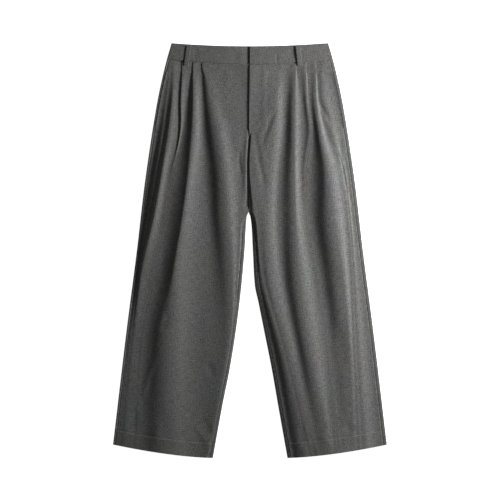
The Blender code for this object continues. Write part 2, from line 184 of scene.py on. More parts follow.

# %% [markdown]
# ## Pleats and folds
# A pleat is cloth folded under itself and caught in the waist seam. Below the seam
# it opens out into a long soft fold. Each front has three, all folded towards the
# side seam, and the fold lines wander as they run down the leg. One FoldLine is one
# such line: its columns of mesh, and then its distance from the centre, its height
# over the table and how round it is, at each of the ten DROPS from waist to hem.
# Where a pleat's foot lies nearer the centre than its edge, the cloth turns back on
# itself and makes the hairpin. A cloth simulation would find folds of its own, so the
# lines are laid out one by one, as a presser lays the pleats.

# %% Fold lines of the right front
DROPS = (0, 22, 40, 100, 180, 280, 400, 540, 720, 1000)
FoldLine = namedtuple("FoldLine", "name columns x z round")
RIGHT_FRONT_FOLDS = (
    FoldLine("side_hollow", 2,
             (201, 203, 205, 212, 221, 237, 256, 282, 307, 335),
             (3.5, 3.6, 3.8, 5.0, 7.0, 8.4, 7.8, 5.6, 4.0, 4.0),
             (2, 2, 2, 3, 3, 3, 3, 3, 3, 3)),
    FoldLine("side_ridge", 3,
             (195, 195, 195, 198, 207, 223, 244, 275, 296, 322),
             (3.6, 3.9, 4.6, 8.0, 11.0, 13.2, 12.9, 9.2, 4.8, 4.8),
             (1, 1, 1, 1, 1, 1, 1, 1, 2, 3)),
    FoldLine("side_pleat_foot", 3,
             (172, 174.5, 177, 179.5, 181, 204, 223, 247, 286, 310),
             (2.3, 2.5, 3.2, 4.6, 5.6, 7.0, 7.5, 6.7, 4.4, 4.6),
             (2, 2, 2, 2, 2, 2, 2, 2, 3, 3)),
    FoldLine("side_pleat_edge", 6,
             (173.5, 173, 173, 176, 177.5, 197, 218, 242, 280, 298),
             (3.3, 3.8, 5.2, 7.2, 7.9, 7.2, 7.5, 6.7, 4.3, 4.6),
             (1, 1, 1, 1, 1, 2, 3, 3, 3, 3)),
    FoldLine("middle_pleat_foot", 3,
             (144, 147, 151, 160, 172, 194, 214, 237, 274, 287),
             (2.3, 2.4, 2.8, 4.0, 6.0, 7.2, 7.6, 6.8, 4.6, 5.0),
             (2, 2, 3, 3, 3, 3, 3, 3, 3, 3)),
    FoldLine("middle_pleat_edge", 6,
             (145.5, 145, 145, 144, 146, 156, 171.5, 193, 208, 214),
             (3.4, 3.9, 5.4, 9.2, 12.4, 15.2, 15.9, 15.8, 14.6, 12.2),
             (1, 1, 1, 1, 1, 0.4, 0.3, 0.6, 3, 4)),
    FoldLine("front_pleat_foot", 3,
             (121.5, 122.5, 123.5, 121.5, 119.5, 116.5, 111, 112, 127, 134),
             (2.3, 2.3, 2.5, 2.6, 2.6, 2.7, 2.8, 2.6, 3.0, 4.2),
             (2, 2, 1, 1, 1, 1.5, 2, 3, 5, 5)),
    FoldLine("front_pleat_edge", 6,
             (123, 119, 110, 97, 81, 66, 56, 46, 54, 110),
             (3.4, 3.9, 5.2, 7.6, 11.2, 12.6, 12.2, 10.4, 7.6, 5.8),
             (1, 1, 2, 2.1, 1.8, 1.7, 2.5, 2, 1, 1)),
    FoldLine("inner_hollow", 3,
             (75, 74, 72, 62, 44, 25, 25, 31, 46, 105),
             (2.9, 3.1, 3.6, 4.6, 4.2, 4.0, 5.4, 7.2, 6.8, 5.3),
             (3, 3, 3, 3, 3, 3, 3, 2, 2, 2)),
)
print(len(RIGHT_FRONT_FOLDS), "fold lines on the right front")

# %% [markdown]
# The left front has the same three pleats but lies looser. Its middle pleat runs out
# at the thigh, and a groove and two more ridges run down beside the fly and the inner
# leg.

# %% Fold lines of the left front
LEFT_FRONT_FOLDS = (
    FoldLine("side_ridge", 3,
             (194, 190, 186, 190, 208, 239, 255, 265, 273, 290),
             (3.8, 4.0, 4.6, 6.8, 8.2, 7.4, 6.6, 6.8, 9.4, 11.4),
             (2, 2, 2, 2, 2, 2, 2, 2, 3, 3)),
    FoldLine("side_pleat_foot", 3,
             (166, 168, 171, 176, 195, 233, 248, 257, 264, 277),
             (2.3, 2.5, 3.2, 5.4, 7.4, 8.2, 7.6, 7.6, 10.4, 12.6),
             (2, 2, 2, 1, 1, 1.5, 2, 3, 3, 3)),
    FoldLine("side_pleat_edge", 6,
             (167.5, 168, 168.5, 169.5, 180, 199, 215, 235, 252, 263),
             (3.3, 3.8, 5.0, 8.8, 12.8, 16.0, 16.6, 14.8, 13.0, 13.8),
             (1, 1, 1, 1, 1, 1.2, 2.4, 3.4, 5, 4)),
    FoldLine("middle_pleat_foot", 3,
             (141, 144, 147, 150, 159, 147, 151, 175, 202, 240),
             (2.3, 2.4, 3.0, 5.3, 7.0, 4.2, 2.8, 2.8, 6.8, 15.2),
             (2, 2, 2, 1, 1, 3, 2, 2, 2, 3)),
    FoldLine("middle_pleat_edge", 6,
             (142.5, 143, 143, 145, 153.5, 141, 146, 170, 198, 229),
             (3.3, 3.8, 4.8, 6.0, 6.9, 3.8, 2.7, 2.8, 6.8, 15.8),
             (1, 1, 1, 1, 1, 3, 3, 3, 3, 3)),
    FoldLine("front_pleat_foot", 3,
             (117, 119, 123, 131, 133, 131, 141, 166, 194, 218),
             (2.3, 2.4, 2.7, 3.2, 3.4, 2.9, 2.7, 2.8, 6.8, 16.1),
             (2, 2, 2, 2, 2, 2, 2, 2, 2, 2)),
    FoldLine("front_pleat_edge", 6,
             (118.5, 117, 116, 114, 113.5, 113.5, 116, 125, 149, 206),
             (3.4, 4.0, 5.2, 7.8, 9.2, 9.8, 10.4, 12.0, 15.8, 16.4),
             (1, 1, 1, 1, 1, 1, 1, 2, 2, 2)),
    FoldLine("front_groove", 2,
             (96, 94, 92, 89, 85, 75, 71, 83, 117, 174),
             (2.6, 2.4, 2.3, 2.2, 2.0, 2.0, 2.0, 3.0, 9.6, 15.0),
             (1, 1, 1, 1, 1, 1, 1, 1, 1, 1)),
    FoldLine("thigh_ridge", 3,
             (71, 70, 69, 66, 58, 48, 40, 48, 93, 162),
             (3.4, 3.9, 4.8, 7.4, 8.2, 7.6, 9.2, 9.2, 12.4, 13.8),
             (1, 1, 1, 1, 2, 2, 2, 2, 2, 2)),
    FoldLine("inner_ridge", 3,
             (32, 30, 28, 20, 4, 0, 16, 32, 83, 150),
             (4.4, 4.6, 5.0, 5.6, 6.2, 7.4, 8.2, 7.8, 12.0, 13.0),
             (1, 1, 1, 1, 1, 1, 2, 3, 1.5, 3)),
)
print(len(LEFT_FRONT_FOLDS), "fold lines on the left front")

# %% [markdown]
# ## From fold line to fold line
# Between two fold lines the cloth follows an S: it leaves the first line level, runs
# down or up a flank and arrives level at the next. Two arcs and a straight between
# them draw both the soft slopes and the hairpins, because an arc may turn through
# more than a right angle. A Bezier would bulge where the cloth turns back.

# %% The S between two lines
SHARP_BEND_WEIGHT = 2.0   # gives a short arc its share of the columns
SHORTEST_ARC = 0.5        # an arc under this length gets no extra share
LEVEL_ANGLE = 1e-4        # radians


def s_bend(start, end, first_share, segments):
    """Points from start to end, level at both ends: an arc, a flank and an arc."""
    run, rise = end[0] - start[0], end[1] - start[1]
    span = math.hypot(run, rise)
    lean = math.atan2(abs(rise), run)
    if lean < LEVEL_ANGLE:
        return [(start[0] + run * i / segments, start[1]) for i in range(segments + 1)]
    turn = min(2 * lean, math.pi)
    radii = span * math.sin(turn - lean) / (1 - math.cos(turn))
    flank = max(span * math.sin(lean - turn / 2) / math.sin(turn / 2), 0.0)
    first, last = radii * first_share, radii * (1 - first_share)
    lengths = (first * turn, flank, last * turn)
    weights = [length + SHARP_BEND_WEIGHT * (length > SHORTEST_ARC) for length in lengths]
    total = sum(weights)
    up = math.copysign(1.0, rise)
    points = []
    for i in range(segments + 1):
        at = total * i / segments
        if at <= weights[0]:
            angle = turn * at / weights[0]
            x, z = first * math.sin(angle), first * (1 - math.cos(angle))
        elif at < weights[0] + weights[1]:
            t = flank * (at - weights[0]) / weights[1]
            x = first * math.sin(turn) + t * math.cos(turn)
            z = first * (1 - math.cos(turn)) + t * math.sin(turn)
        else:
            angle = turn * (total - at) / weights[2]
            x = run - last * math.sin(angle)
            z = abs(rise) - last * (1 - math.cos(angle))
        points.append((start[0] + x, start[1] + up * z))
    return points


print("an S over 20 mm that climbs 10 mm:",
      [(round(x), round(z)) for x, z in s_bend((0, 0), (20, 10), 0.5, 4)])

# %% [markdown]
# ## The inner leg
# The backs are wider than the fronts: each wraps round the outer fold and up round
# the inner leg, so both seams lie on top, a finger's width inside the outline. Two
# flat panels would meet in a knife edge there, which a worn leg never has. Above the
# crotch there is no leg to wrap, so the curl grows over a few centimetres. One row
# of the table is one height: the degrees that the back turns and the length of its
# lip, how far in and how high above it the front's edge lies, how far that edge runs
# level, and the radius of the curl.

# %% The backs' curl at the inner leg
FULL_LIP = SEAM_INSET - EDGE_RADIUS - CLOTH / 2
FULL_INSET = SEAM_INSET + SEAM_GAP
InnerCurl = namedtuple("InnerCurl", "y turn lip inset lift level radius",
                       defaults=(EDGE_RADIUS,))
INNER_CURL = {
    1: (
        InnerCurl(290.0, 0.0, 0.4, 0.0, 2.5, 2.5),
        InnerCurl(212.0, 0.0, 0.4, 0.0, 3.0, 1.5),
        InnerCurl(198.0, 90.0, 0.4, 0.1, 1.9, 1.5),
        InnerCurl(186.0, 180.0, 0.6, 0.2, 1.45, 1.5),
        InnerCurl(150.0, 180.0, FULL_LIP, 0.2, 1.45, 1.5),
        InnerCurl(98.0, 180.0, FULL_LIP, 0.3, 1.45, 1.0),
        InnerCurl(66.0, 172.0, FULL_LIP, FULL_INSET, 0.8, 1.5),
        InnerCurl(37.0, 164.0, FULL_LIP, FULL_INSET, 0.0, 1.5),
    ),
    -1: (
        InnerCurl(290.0, 0.0, 0.4, 0.0, 2.2, 3.5),
        InnerCurl(212.0, 0.0, 0.4, -0.2, 2.7, 2.0),
        InnerCurl(118.0, 0.0, 0.4, -0.2, 2.7, 2.0),
        InnerCurl(109.0, 90.0, 0.4, 0.1, 1.7, 2.0),
        InnerCurl(100.0, 180.0, 0.6, 0.3, 1.45, 2.0),
        InnerCurl(90.0, 180.0, FULL_LIP, 0.5, 1.45, 2.0),
        InnerCurl(66.0, 180.0, FULL_LIP, FULL_INSET, 0.8, 1.5),
        InnerCurl(37.0, 180.0, FULL_LIP, FULL_INSET, 0.0, 1.5, 2.1),
        InnerCurl(-20.0, 180.0, FULL_LIP, FULL_INSET, 0.0, 1.5, 2.8),
        InnerCurl(-150.0, 180.0, FULL_LIP, FULL_INSET, 0.0, 1.5, 2.8),
        InnerCurl(-300.0, 180.0, FULL_LIP, FULL_INSET, 0.0, 1.5, 2.3),
        InnerCurl(-529.0, 180.0, FULL_LIP, FULL_INSET, 0.0, 1.5, 2.1),
    ),
}


def inner_curl(side, field, y):
    table = INNER_CURL[side]
    stations = [row.y for row in table]
    values = [getattr(row, field) for row in table]
    y = min(max(y, stations[-1]), stations[0])
    for k in range(len(stations) - 1):
        if y >= stations[k + 1]:
            t = smoothstep(stations[k], stations[k + 1], y)
            return values[k] + (values[k + 1] - values[k]) * t
    return values[-1]


def inner_lip(side, y):
    """The turn, radius and length of a back's curl at the inner leg, and its end height."""
    turn, radius = math.radians(inner_curl(side, "turn", y)), inner_curl(side, "radius", y)
    length = inner_curl(side, "lip", y) - (radius - EDGE_RADIUS)
    end_z = CLOTH / 2 + radius * (1 - math.cos(turn)) + length * math.sin(turn)
    return turn, radius, length, end_z


print("the full lip is", round(FULL_LIP, 2), "mm wide, its seam", round(FULL_INSET, 2), "mm in")

# %% [markdown]
# ## Edges of the fronts
# A front ends beside the side seam, where its pocket mouth stands a little open, and
# at the centre, where it is first the fly, then the crotch seam and then the inseam.
# At the fly the left front laps over the right one.

# %% Edges of the fronts
FLY_LAP_TOP = 0.3         # how far the left front laps past the centre line
FLY_LAP_FOOT = 2.3
FLY_LAP_Z = 5.9
FLY_LAP_START = 4.0       # the lap begins this far below the base of the fly
FLY_LAP_RUN = 10.0
FLY_PARTING_RUN = 22.0    # the two layers part over this length, just below the lap
FLY_UNDERLAP = 18.0       # how far the right front carries on beneath the left one
FLY_UNDERLAP_Z = 3.5
FLY_UNDERLAP_RUN = 26.0
POCKET_MOUTH = {-1: 0.9, 1: 0.3}      # how far the pocket mouth stands open
POCKET_TOP_TAPER = 12.0
POCKET_BASE_TAPER = 25.0


def fly_lap(y):
    """How far the left half reaches past the centre line at a height."""
    return FLY_LAP_FOOT + (FLY_LAP_TOP - FLY_LAP_FOOT) * smoothstep(FLY_BASE_Y, TOP_CORNER_Y, y)


def pocket_mouth(y):
    """1 along the pocket mouth, 0 above and below it."""
    above_base = smoothstep(POCKET_BASE_Y, POCKET_BASE_Y + POCKET_BASE_TAPER, y)
    return above_base * (1 - smoothstep(POCKET_TOP_Y - POCKET_TOP_TAPER, POCKET_TOP_Y, y))


def front_outer_x(side, y):
    mouth = POCKET_MOUTH[side] * pocket_mouth(y)
    return edge_at(SIDE_EDGE, y) - SIDE_SEAM_INSET[side] - SEAM_GAP - mouth


def front_centre_edge(side, y):
    """(x, z) of a front's centre edge: the fly, the crotch seam or the inseam."""
    seam_x = inner_edge(side, y) + inner_curl(side, "inset", y)
    seam_z = inner_lip(side, y)[3] + inner_curl(side, "lift", y)
    lap_y = FLY_BASE_Y - FLY_LAP_START
    parting = smoothstep(lap_y - FLY_PARTING_RUN, lap_y, y)
    if side > 0:
        lap = smoothstep(lap_y, lap_y + FLY_LAP_RUN, y)
        return (seam_x + (-fly_lap(y) - seam_x) * lap,
                seam_z + (FLY_LAP_Z - seam_z) * parting)
    lap = smoothstep(FLY_BASE_Y, FLY_BASE_Y + FLY_UNDERLAP_RUN, y)
    return (seam_x + (-FLY_UNDERLAP - seam_x) * lap,
            seam_z + (FLY_UNDERLAP_Z - seam_z) * parting)


print("fly lap:", FLY_LAP_FOOT, "mm at its foot,", FLY_LAP_TOP, "mm at the top")

# %% [markdown]
# A folded edge is an arc of cloth and the lip that follows it. The points are counted
# off along the cloth, so they stay evenly spaced however far the edge curls.

# %% A curled wall
CURL_RUN_UP = 3.0         # flat cloth counted with the curl, so its columns spread out


def curled_edge(turn, radius, lip, wall, fold_x, segments):
    """(x, z) points of a wall that leaves the table at a folded edge and curls over."""
    length = CURL_RUN_UP + turn * radius + lip
    points = []
    reach = -math.inf
    for i in range(segments + 1):
        arc_length = length * i / segments - CURL_RUN_UP
        angle = min(max(arc_length / radius, 0.0), turn)
        straight = arc_length - angle * radius
        x = radius * math.sin(angle) + straight * math.cos(angle)
        z = radius * (1 - math.cos(angle)) + straight * math.sin(angle)
        points.append((x, wall / 2 + z))
        reach = max(reach, x + wall / 2 * math.sin(angle))
    if turn >= math.pi / 2:
        reach = radius + wall / 2
    return [(x + fold_x - reach, z) for x, z in points]


print("a full curl stands", round(LIP_Z + CLOTH / 2, 2), "mm high")

# %% [markdown]
# ## Sections of the leg panels
# A row of a panel is its section at one drop below the waist. The columns are shared
# out fold by fold, so a column stays on its own part of a pleat all the way down and
# the weave runs with it. Extra columns near the seams and the fly carry their small
# forms.

# %% Sections
SIDE_EASE = 5.0           # the front lies level this far from its side seam
SIDE_EASE_COLUMNS = 2
CENTRE_COLUMNS = 4
EDGE_COLUMNS = 1
SIDE_ROUND = 6
CENTRE_ROUND = 1
FINENESS = 3              # how often each column of the tables is divided
FLY_FINENESS = 4          # the columns across the fly facing are divided again
BACK_FLAT_COLUMNS = 64
CURL_COLUMNS = 14


def front_section(side, folds, drop):
    """(x, z) of each column of a front's row, from the side seam to the centre."""
    outer_x = settle(lambda edge_y: front_outer_x(side, edge_y), drop)
    knots = [(SIDE_EASE_COLUMNS, SIDE_ROUND, outer_x - SIDE_EASE, LIP_Z)]
    knots += [(fold.columns, along(DROPS, fold.round, drop), along(DROPS, fold.x, drop),
               along(DROPS, fold.z, drop)) for fold in folds]
    centre_y = leg_y(0.0, drop)
    edge_x, edge_z = front_centre_edge(side, centre_y)
    level_x = (edge_x if side > 0 else max(edge_x, 0.0)) + inner_curl(side, "level", centre_y)
    knots.append((CENTRE_COLUMNS * FLY_FINENESS, CENTRE_ROUND, level_x, edge_z))
    knots.append((EDGE_COLUMNS, CENTRE_ROUND, edge_x, edge_z))
    points = [(outer_x, LIP_Z)]
    last_round = SIDE_ROUND
    for columns, roundness, x, z in knots:
        start = points[-1]
        share = last_round / (last_round + roundness)
        bend = s_bend((-start[0], start[1]), (-x, z), share, columns * FINENESS)
        points += [(-px, pz) for px, pz in bend[1:]]
        last_round = roundness
    return points


def back_section(side, drop):
    """(x, z) of each column of a back's row, from its side seam lip to its inner lip."""
    outer_fold = settle(lambda edge_y: edge_at(SIDE_EDGE, edge_y), drop)
    lip = SIDE_SEAM_INSET[side] - EDGE_RADIUS - CLOTH / 2
    outer = curled_edge(math.pi, EDGE_RADIUS, lip, CLOTH, outer_fold, CURL_COLUMNS)
    y = leg_y(0.0, drop)
    inner_fold = settle(lambda edge_y: inner_edge(side, edge_y), drop)
    turn, radius, length, _ = inner_lip(side, y)
    inner = curled_edge(turn, radius, length, CLOTH, -inner_fold, CURL_COLUMNS)
    inner = [(-x, z) for x, z in inner]
    flat = [(outer[0][0] + (inner[0][0] - outer[0][0]) * i / BACK_FLAT_COLUMNS, CLOTH / 2)
            for i in range(1, BACK_FLAT_COLUMNS)]
    return outer[::-1] + flat + inner


print("columns:", len(front_section(-1, RIGHT_FRONT_FOLDS, 0.0)), "on the right front,",
      len(front_section(1, LEFT_FRONT_FOLDS, 0.0)), "on the left,",
      len(back_section(1, 0.0)), "on a back")

# %% [markdown]
# ## Rows
# Rows about four millimetres apart show every fold from a step away. Near the waist
# seam, the foot of the fly and the turned-up hem the form changes within a few
# millimetres, so the rows stand closer there. Fronts and backs share the rows, which
# keeps their seams together.

# %% Row stations
ROW_STEP = 4.4
FINE_STEP = 1.1
HEM_DEPTH = 38.5          # stitch line to hem
TUCK_LENGTH = 3.0         # how far a leg panel carries on inside the waistband
FineZone = namedtuple("FineZone", "start end")
FINE_ZONES = (
    FineZone(-TUCK_LENGTH, 8.0),                                    # the waist seam
    FineZone(136.0, 176.0),                                         # the fly's curve
    FineZone(LEG_DROP - HEM_DEPTH - 4.0, LEG_DROP - HEM_DEPTH + 4.0),   # the hem's stitches
    FineZone(LEG_DROP - 5.0, LEG_DROP),                             # the hem's edge
)


def leg_rows():
    rows = [-TUCK_LENGTH, 0.0]
    while rows[-1] < LEG_DROP:
        fine = any(zone.start <= rows[-1] < zone.end for zone in FINE_ZONES)
        rows.append(rows[-1] + (FINE_STEP if fine else ROW_STEP))
    rows[-1] = LEG_DROP
    return rows


LEG_ROWS = leg_rows()
print(len(LEG_ROWS), "rows on each leg panel")

# %% [markdown]
# ## Small creases
# Cloth that has been handled keeps small creases between its big folds. Each is put
# where it lies, one by one: a line of a few points, a width, and a height that is
# negative for a trough. A crease fades at its ends and has a soft, bell-shaped
# section. A noise texture could roughen the cloth, but it wouldn't know where the
# crotch pulls or where the pocket bag presses through.

# %% Creases of the fronts
Crease = namedtuple("Crease", "name width height path")
LEFT_FRONT_CREASES = (
    Crease("crotch_pull", 4.2, -1.9,
           ((1, 308), (14, 292), (23, 227), (32, 189), (35, 162), (32, 138))),
    Crease("fly_pull", 3.9, -2.5, ((70, 362), (51, 333), (49, 318), (38, 291), (26, 254))),
    Crease("fly_pull_swell", 5.0, 0.8, ((60, 332), (47, 296), (37, 268))),
    Crease("pocket_pull", 6.5, -1.4, ((176, 380), (191, 353), (212, 314))),
    Crease("fly_facing_edge", 3.0, 0.8, ((39, 474), (39, 400), (36, 336), (28, 318), (14, 312))),
    Crease("pocket_bag_end", 4.6, -1.9, ((226, 290), (234, 231), (243, 176), (256, 116))),
    Crease("pocket_bag_side", 9.0, -0.7, ((226, 300), (230, 250))),
    Crease("tack_dimple", 4.0, -0.8, ((186, 455), (192, 446))),
    Crease("knee_ripple", 13.0, 0.8, ((210, -60), (225, -150), (230, -210))),
    Crease("shin_ripple", 12.0, -0.9, ((226, -190), (236, -260), (240, -330))),
    Crease("hem_ripple", 9.0, 0.9, ((184, -468), (199, -500))),
    Crease("hem_dent", 8.0, -0.8, ((246, -440), (256, -470))),
    Crease("inner_hem_ripple", 8.0, -0.8, ((128, -440), (136, -500))),
)
RIGHT_FRONT_CREASES = (
    Crease("crotch_swell", 6.5, 2.0, ((-4, 330), (-8, 280), (-11, 220), (-11, 160), (-12, 110))),
    Crease("crotch_pull", 4.5, -1.1, ((-26, 262), (-28, 226), (-22, 186))),
    Crease("stomach_pull", 9.0, -0.6, ((-60, 455), (-84, 440))),
    Crease("stomach_ripple", 14.0, 0.6, ((-75, 330), (-60, 290))),
    Crease("knee_dent", 8.0, -0.9, ((-111, -280), (-98, -311), (-101, -330))),
    Crease("shin_ripple", 7.0, 0.9, ((-240, -270), (-257, -317), (-277, -385))),
    Crease("shin_trough", 8.0, -0.9, ((-206, -150), (-223, -210))),
    Crease("hem_ridge", 7.0, 0.6, ((-150, -432), (-114, -486), (-97, -512))),
    Crease("hem_hollow", 9.0, -0.5, ((-128, -420), (-100, -468), (-88, -498))),
    Crease("hem_ripple", 9.0, 0.7, ((-232, -430), (-240, -496))),
    Crease("outer_hem_dent", 10.0, -0.7, ((-290, -400), (-304, -470))),
)
print(len(RIGHT_FRONT_CREASES), "creases on the right front,",
      len(LEFT_FRONT_CREASES), "on the left")

# %% Relief of the creases
CREASE_END = 0.3          # share of a crease's length over which each end fades


def along_path(path, x, y):
    """Each point's distance from a path, and its place along it from 0 to 1."""
    path = np.array(path, float)
    steps = np.hypot(*np.diff(path, axis=0).T)
    start = np.concatenate([[0.0], np.cumsum(steps)])
    nearest = np.full(x.shape, np.inf)
    place = np.zeros_like(x)
    for k, step in enumerate(steps):
        (ax, ay), (bx, by) = path[k], path[k + 1]
        t = np.clip(((x - ax) * (bx - ax) + (y - ay) * (by - ay)) / step**2, 0.0, 1.0)
        gap = np.hypot(x - ax - t * (bx - ax), y - ay - t * (by - ay))
        place = np.where(gap < nearest, (start[k] + t * step) / start[-1], place)
        nearest = np.minimum(nearest, gap)
    return nearest, place


def bell(distance, width):
    """A soft hump: 1 at no distance, a third at one width, nothing far off."""
    return np.exp(-(distance / width) ** 2)


def crease_relief(creases, x, y):
    """Height that the creases add at each point."""
    height = np.zeros_like(x)
    for crease in creases:
        distance, place = along_path(crease.path, x, y)
        fade = smoothstep(0.0, CREASE_END, place) * smoothstep(0.0, CREASE_END, 1 - place)
        height += crease.height * fade * bell(distance, crease.width)
    return height


deepest = min(LEFT_FRONT_CREASES, key=lambda crease: crease.height)
print("the deepest crease is", deepest.name, "with", deepest.height, "mm")

# %% [markdown]
# ## Ease of the cloth
# Even a pressed panel isn't flat. Slow waves, longer along the leg than across it,
# tilt the cloth by a degree or two, which low light shows as soft streaks. Two
# octaves of smooth noise give them. Each panel reads its own layer of the noise, so no
# two are alike. A Displace modifier would part the layers of a pleat, as it moves each
# along its own normal, so the waves are added to the height.

# %% Slow waves
WAVE_ACROSS = 42.0
WAVE_ALONG = 190.0
WAVE_HEIGHT = 0.7
RIPPLE_ACROSS = 17.0
RIPPLE_ALONG = 70.0
RIPPLE_HEIGHT = 0.16


@np.vectorize
def noise_at(x, y, layer):
    """Smooth noise between -1 and 1, the same at every run."""
    return noise.noise(Vector((x, y, layer)))


def wave_relief(x, y, layer):
    waves = WAVE_HEIGHT * noise_at(x / WAVE_ACROSS, y / WAVE_ALONG, layer)
    return waves + RIPPLE_HEIGHT * noise_at(x / RIPPLE_ACROSS, y / RIPPLE_ALONG, -layer)


print("waves up to", round(WAVE_HEIGHT + RIPPLE_HEIGHT, 2), "mm high,", WAVE_ACROSS,
      "mm across and", WAVE_ALONG, "mm along")

# %% [markdown]
# ## Forms along the fly
# Inside the fly's curved stitch line the left front has its facing beneath it, so it
# stands a little proud there, and the stitches sink in. The right front swells up
# towards the lap that covers it.

# %% Relief of the fly
FACING_STEP = 0.7
FACING_RUN = 1.2
STITCH_GROOVE_DEPTH = 0.8
STITCH_GROOVE_WIDTH = 1.6
FLY_STITCH = ((40.8, 474.0), (40.0, 420.0), (39.0, 365.0), (37.0, 336.0),
              (29.0, 318.0), (16.0, 309.5), (0.0, 307.0))
FLY_SWELL = 1.1
FLY_SWELL_X = -2.0
FLY_SWELL_WIDTH = 22.0
FLY_SWELL_HIDDEN_WIDTH = 6.0          # under the lap
FLY_SWELL_RUN = (-12.0, 24.0)         # it sets in round the foot of the fly


def fly_stitch_x(y):
    """How far from the centre the fly's stitch line runs at a height."""
    reach, heights = zip(*FLY_STITCH[::-1])
    return np.interp(y, heights, reach)


def facing_relief(x, y):
    """The step of the left front's facing and the groove of its stitches."""
    outside, _ = along_path(FLY_STITCH, x, y)
    outside = np.where((x < fly_stitch_x(y)) & (y > FLY_BASE_Y), -outside, outside)
    step = FACING_STEP * (1 - smoothstep(-FACING_RUN, FACING_RUN, outside))
    return step - STITCH_GROOVE_DEPTH * bell(outside, STITCH_GROOVE_WIDTH)


def lap_relief(x, y):
    """The swell of the right front beside the lap."""
    width = np.where(x > FLY_SWELL_X, FLY_SWELL_WIDTH, FLY_SWELL_HIDDEN_WIDTH)
    start, end = FLY_SWELL_RUN
    beside_lap = smoothstep(FLY_BASE_Y + start, FLY_BASE_Y + end, y)
    return FLY_SWELL * bell(x - FLY_SWELL_X, width) * beside_lap


print("the fly's stitches run", fly_stitch_x(WAIST_SEAM_Y), "mm from the centre at the waist")

# %% [markdown]
# ## Forms along the seams
# A seam is two turned-in edges side by side. Each rolls down into the seam, and the
# stitches draw it in unevenly, which makes the little puckers beside it. The pocket
# mouth is a fold of its own and stands up instead. The hem is two layers deep, so it
# stands a little proud of the leg. Creases and waves fade towards the edges, where the
# neighbours begin.

# %% Relief of a front
SEAM_ROLL_DEPTH = 0.6
SEAM_ROLL_WIDTH = 1.1
PUCKER_HEIGHT = 0.45
PUCKER_LENGTH = 11.0
PUCKER_WIDTH = 5.0
MOUTH_ROLL_HEIGHT = 0.7
MOUTH_ROLL_WIDTH = 3.0
HEM_STEP = 0.35
HEM_STEP_RUN = 2.5
HEM_LINE_DEPTH = 0.15
HEM_LINE_WIDTH = 1.6
SIDE_FADE = 9.0
CENTRE_FADE = 5.0
WAIST_FADE = 16.0
INSEAM_START_Y = 270.0    # below the fly, the centre edge becomes a seam
INSEAM_FULL_Y = 230.0
WAVE_LAYER = 3.1          # which layer of the noise is read, before the side is added
SIDE_PUCKER_LAYER = 7.0
INSEAM_PUCKER_LAYER = 17.0


def pucker(y, layer):
    return PUCKER_HEIGHT * noise_at(y / PUCKER_LENGTH, layer, 0.0)


def front_relief(side, creases, x, y, drop, from_side, from_centre):
    """Height added to a front at each point. x is positive outwards."""
    below_waist = smoothstep(0.0, WAIST_FADE, drop)
    inside = smoothstep(0.0, SIDE_FADE, from_side) * smoothstep(0.0, CENTRE_FADE, from_centre)
    waves = wave_relief(side * x, y, WAVE_LAYER + side)
    height = (crease_relief(creases, side * x, y) + waves) * inside * below_waist
    mouth = pocket_mouth(y)
    height -= SEAM_ROLL_DEPTH * bell(from_side, SEAM_ROLL_WIDTH) * (1 - mouth)
    height += MOUTH_ROLL_HEIGHT * bell(from_side, MOUTH_ROLL_WIDTH) * mouth
    beside_seam = bell(from_side - PUCKER_WIDTH, PUCKER_WIDTH) * below_waist
    height += pucker(y, SIDE_PUCKER_LAYER + side) * beside_seam
    inseam = 1 - smoothstep(INSEAM_FULL_Y, INSEAM_START_Y, y)
    height -= SEAM_ROLL_DEPTH * bell(from_centre, SEAM_ROLL_WIDTH) * inseam
    beside_inseam = bell(from_centre - PUCKER_WIDTH, PUCKER_WIDTH) * inseam
    height += pucker(y, INSEAM_PUCKER_LAYER + side) * beside_inseam
    to_hem = LEG_DROP - drop
    height += HEM_STEP * (1 - smoothstep(HEM_DEPTH - HEM_STEP_RUN, HEM_DEPTH, to_hem))
    height -= HEM_LINE_DEPTH * bell(to_hem - HEM_DEPTH, HEM_LINE_WIDTH)
    return height + (facing_relief(x, y) if side > 0 else lap_relief(x, y))


print("puckers up to", PUCKER_HEIGHT, "mm, a hem step of", HEM_STEP, "mm")

# %% [markdown]
# ## A cloth piece
# Every panel starts as a flat grid, made by one operator, whose points then move to
# their sections. The grid also carries a UV map in real millimetres, measured along
# the cloth and not straight across it, so the weave bends round each fold as real
# yarn does. Solidify gives the wall its thickness, and a small bevel turns the cut
# rims into soft edges.

# %% Measure the weave
def weave_of(flat, grain):
    """Each column's place across the yarns, each row's down them, and the widest row."""
    across, down = np.zeros(flat.shape[:2]), np.zeros(flat.shape[:2])
    across[:, 1:] = np.cumsum(np.linalg.norm(np.diff(flat, axis=1), axis=2), axis=1)
    down[1:] = np.cumsum(np.linalg.norm(np.diff(flat, axis=0), axis=2), axis=0)
    return across - across[:, grain:grain + 1], down.mean(axis=1), across[:, -1].max()


flank = np.array([[(0.0, 0.0, 0.0), (30.0, 0.0, 40.0)]] * 2)
print("a flank 30 mm wide and 40 mm high takes", weave_of(flank, 0)[2], "mm of cloth")

# %% Build a cloth piece
EDGE_SOFTNESS = 0.32
EDGE_ANGLE = math.radians(62)
garment = bpy.data.collections.new("trousers_cloth")
bpy.context.scene.collection.children.link(garment)


def add_wall(piece, wall):
    thickness = piece.modifiers.new("Wall", "SOLIDIFY")
    thickness.thickness = wall * MM
    thickness.offset = 0.0
    rim = piece.modifiers.new("Soft rim", "BEVEL")
    rim.width = EDGE_SOFTNESS * MM
    rim.segments = 2
    rim.limit_method = "ANGLE"
    rim.angle_limit = EDGE_ANGLE


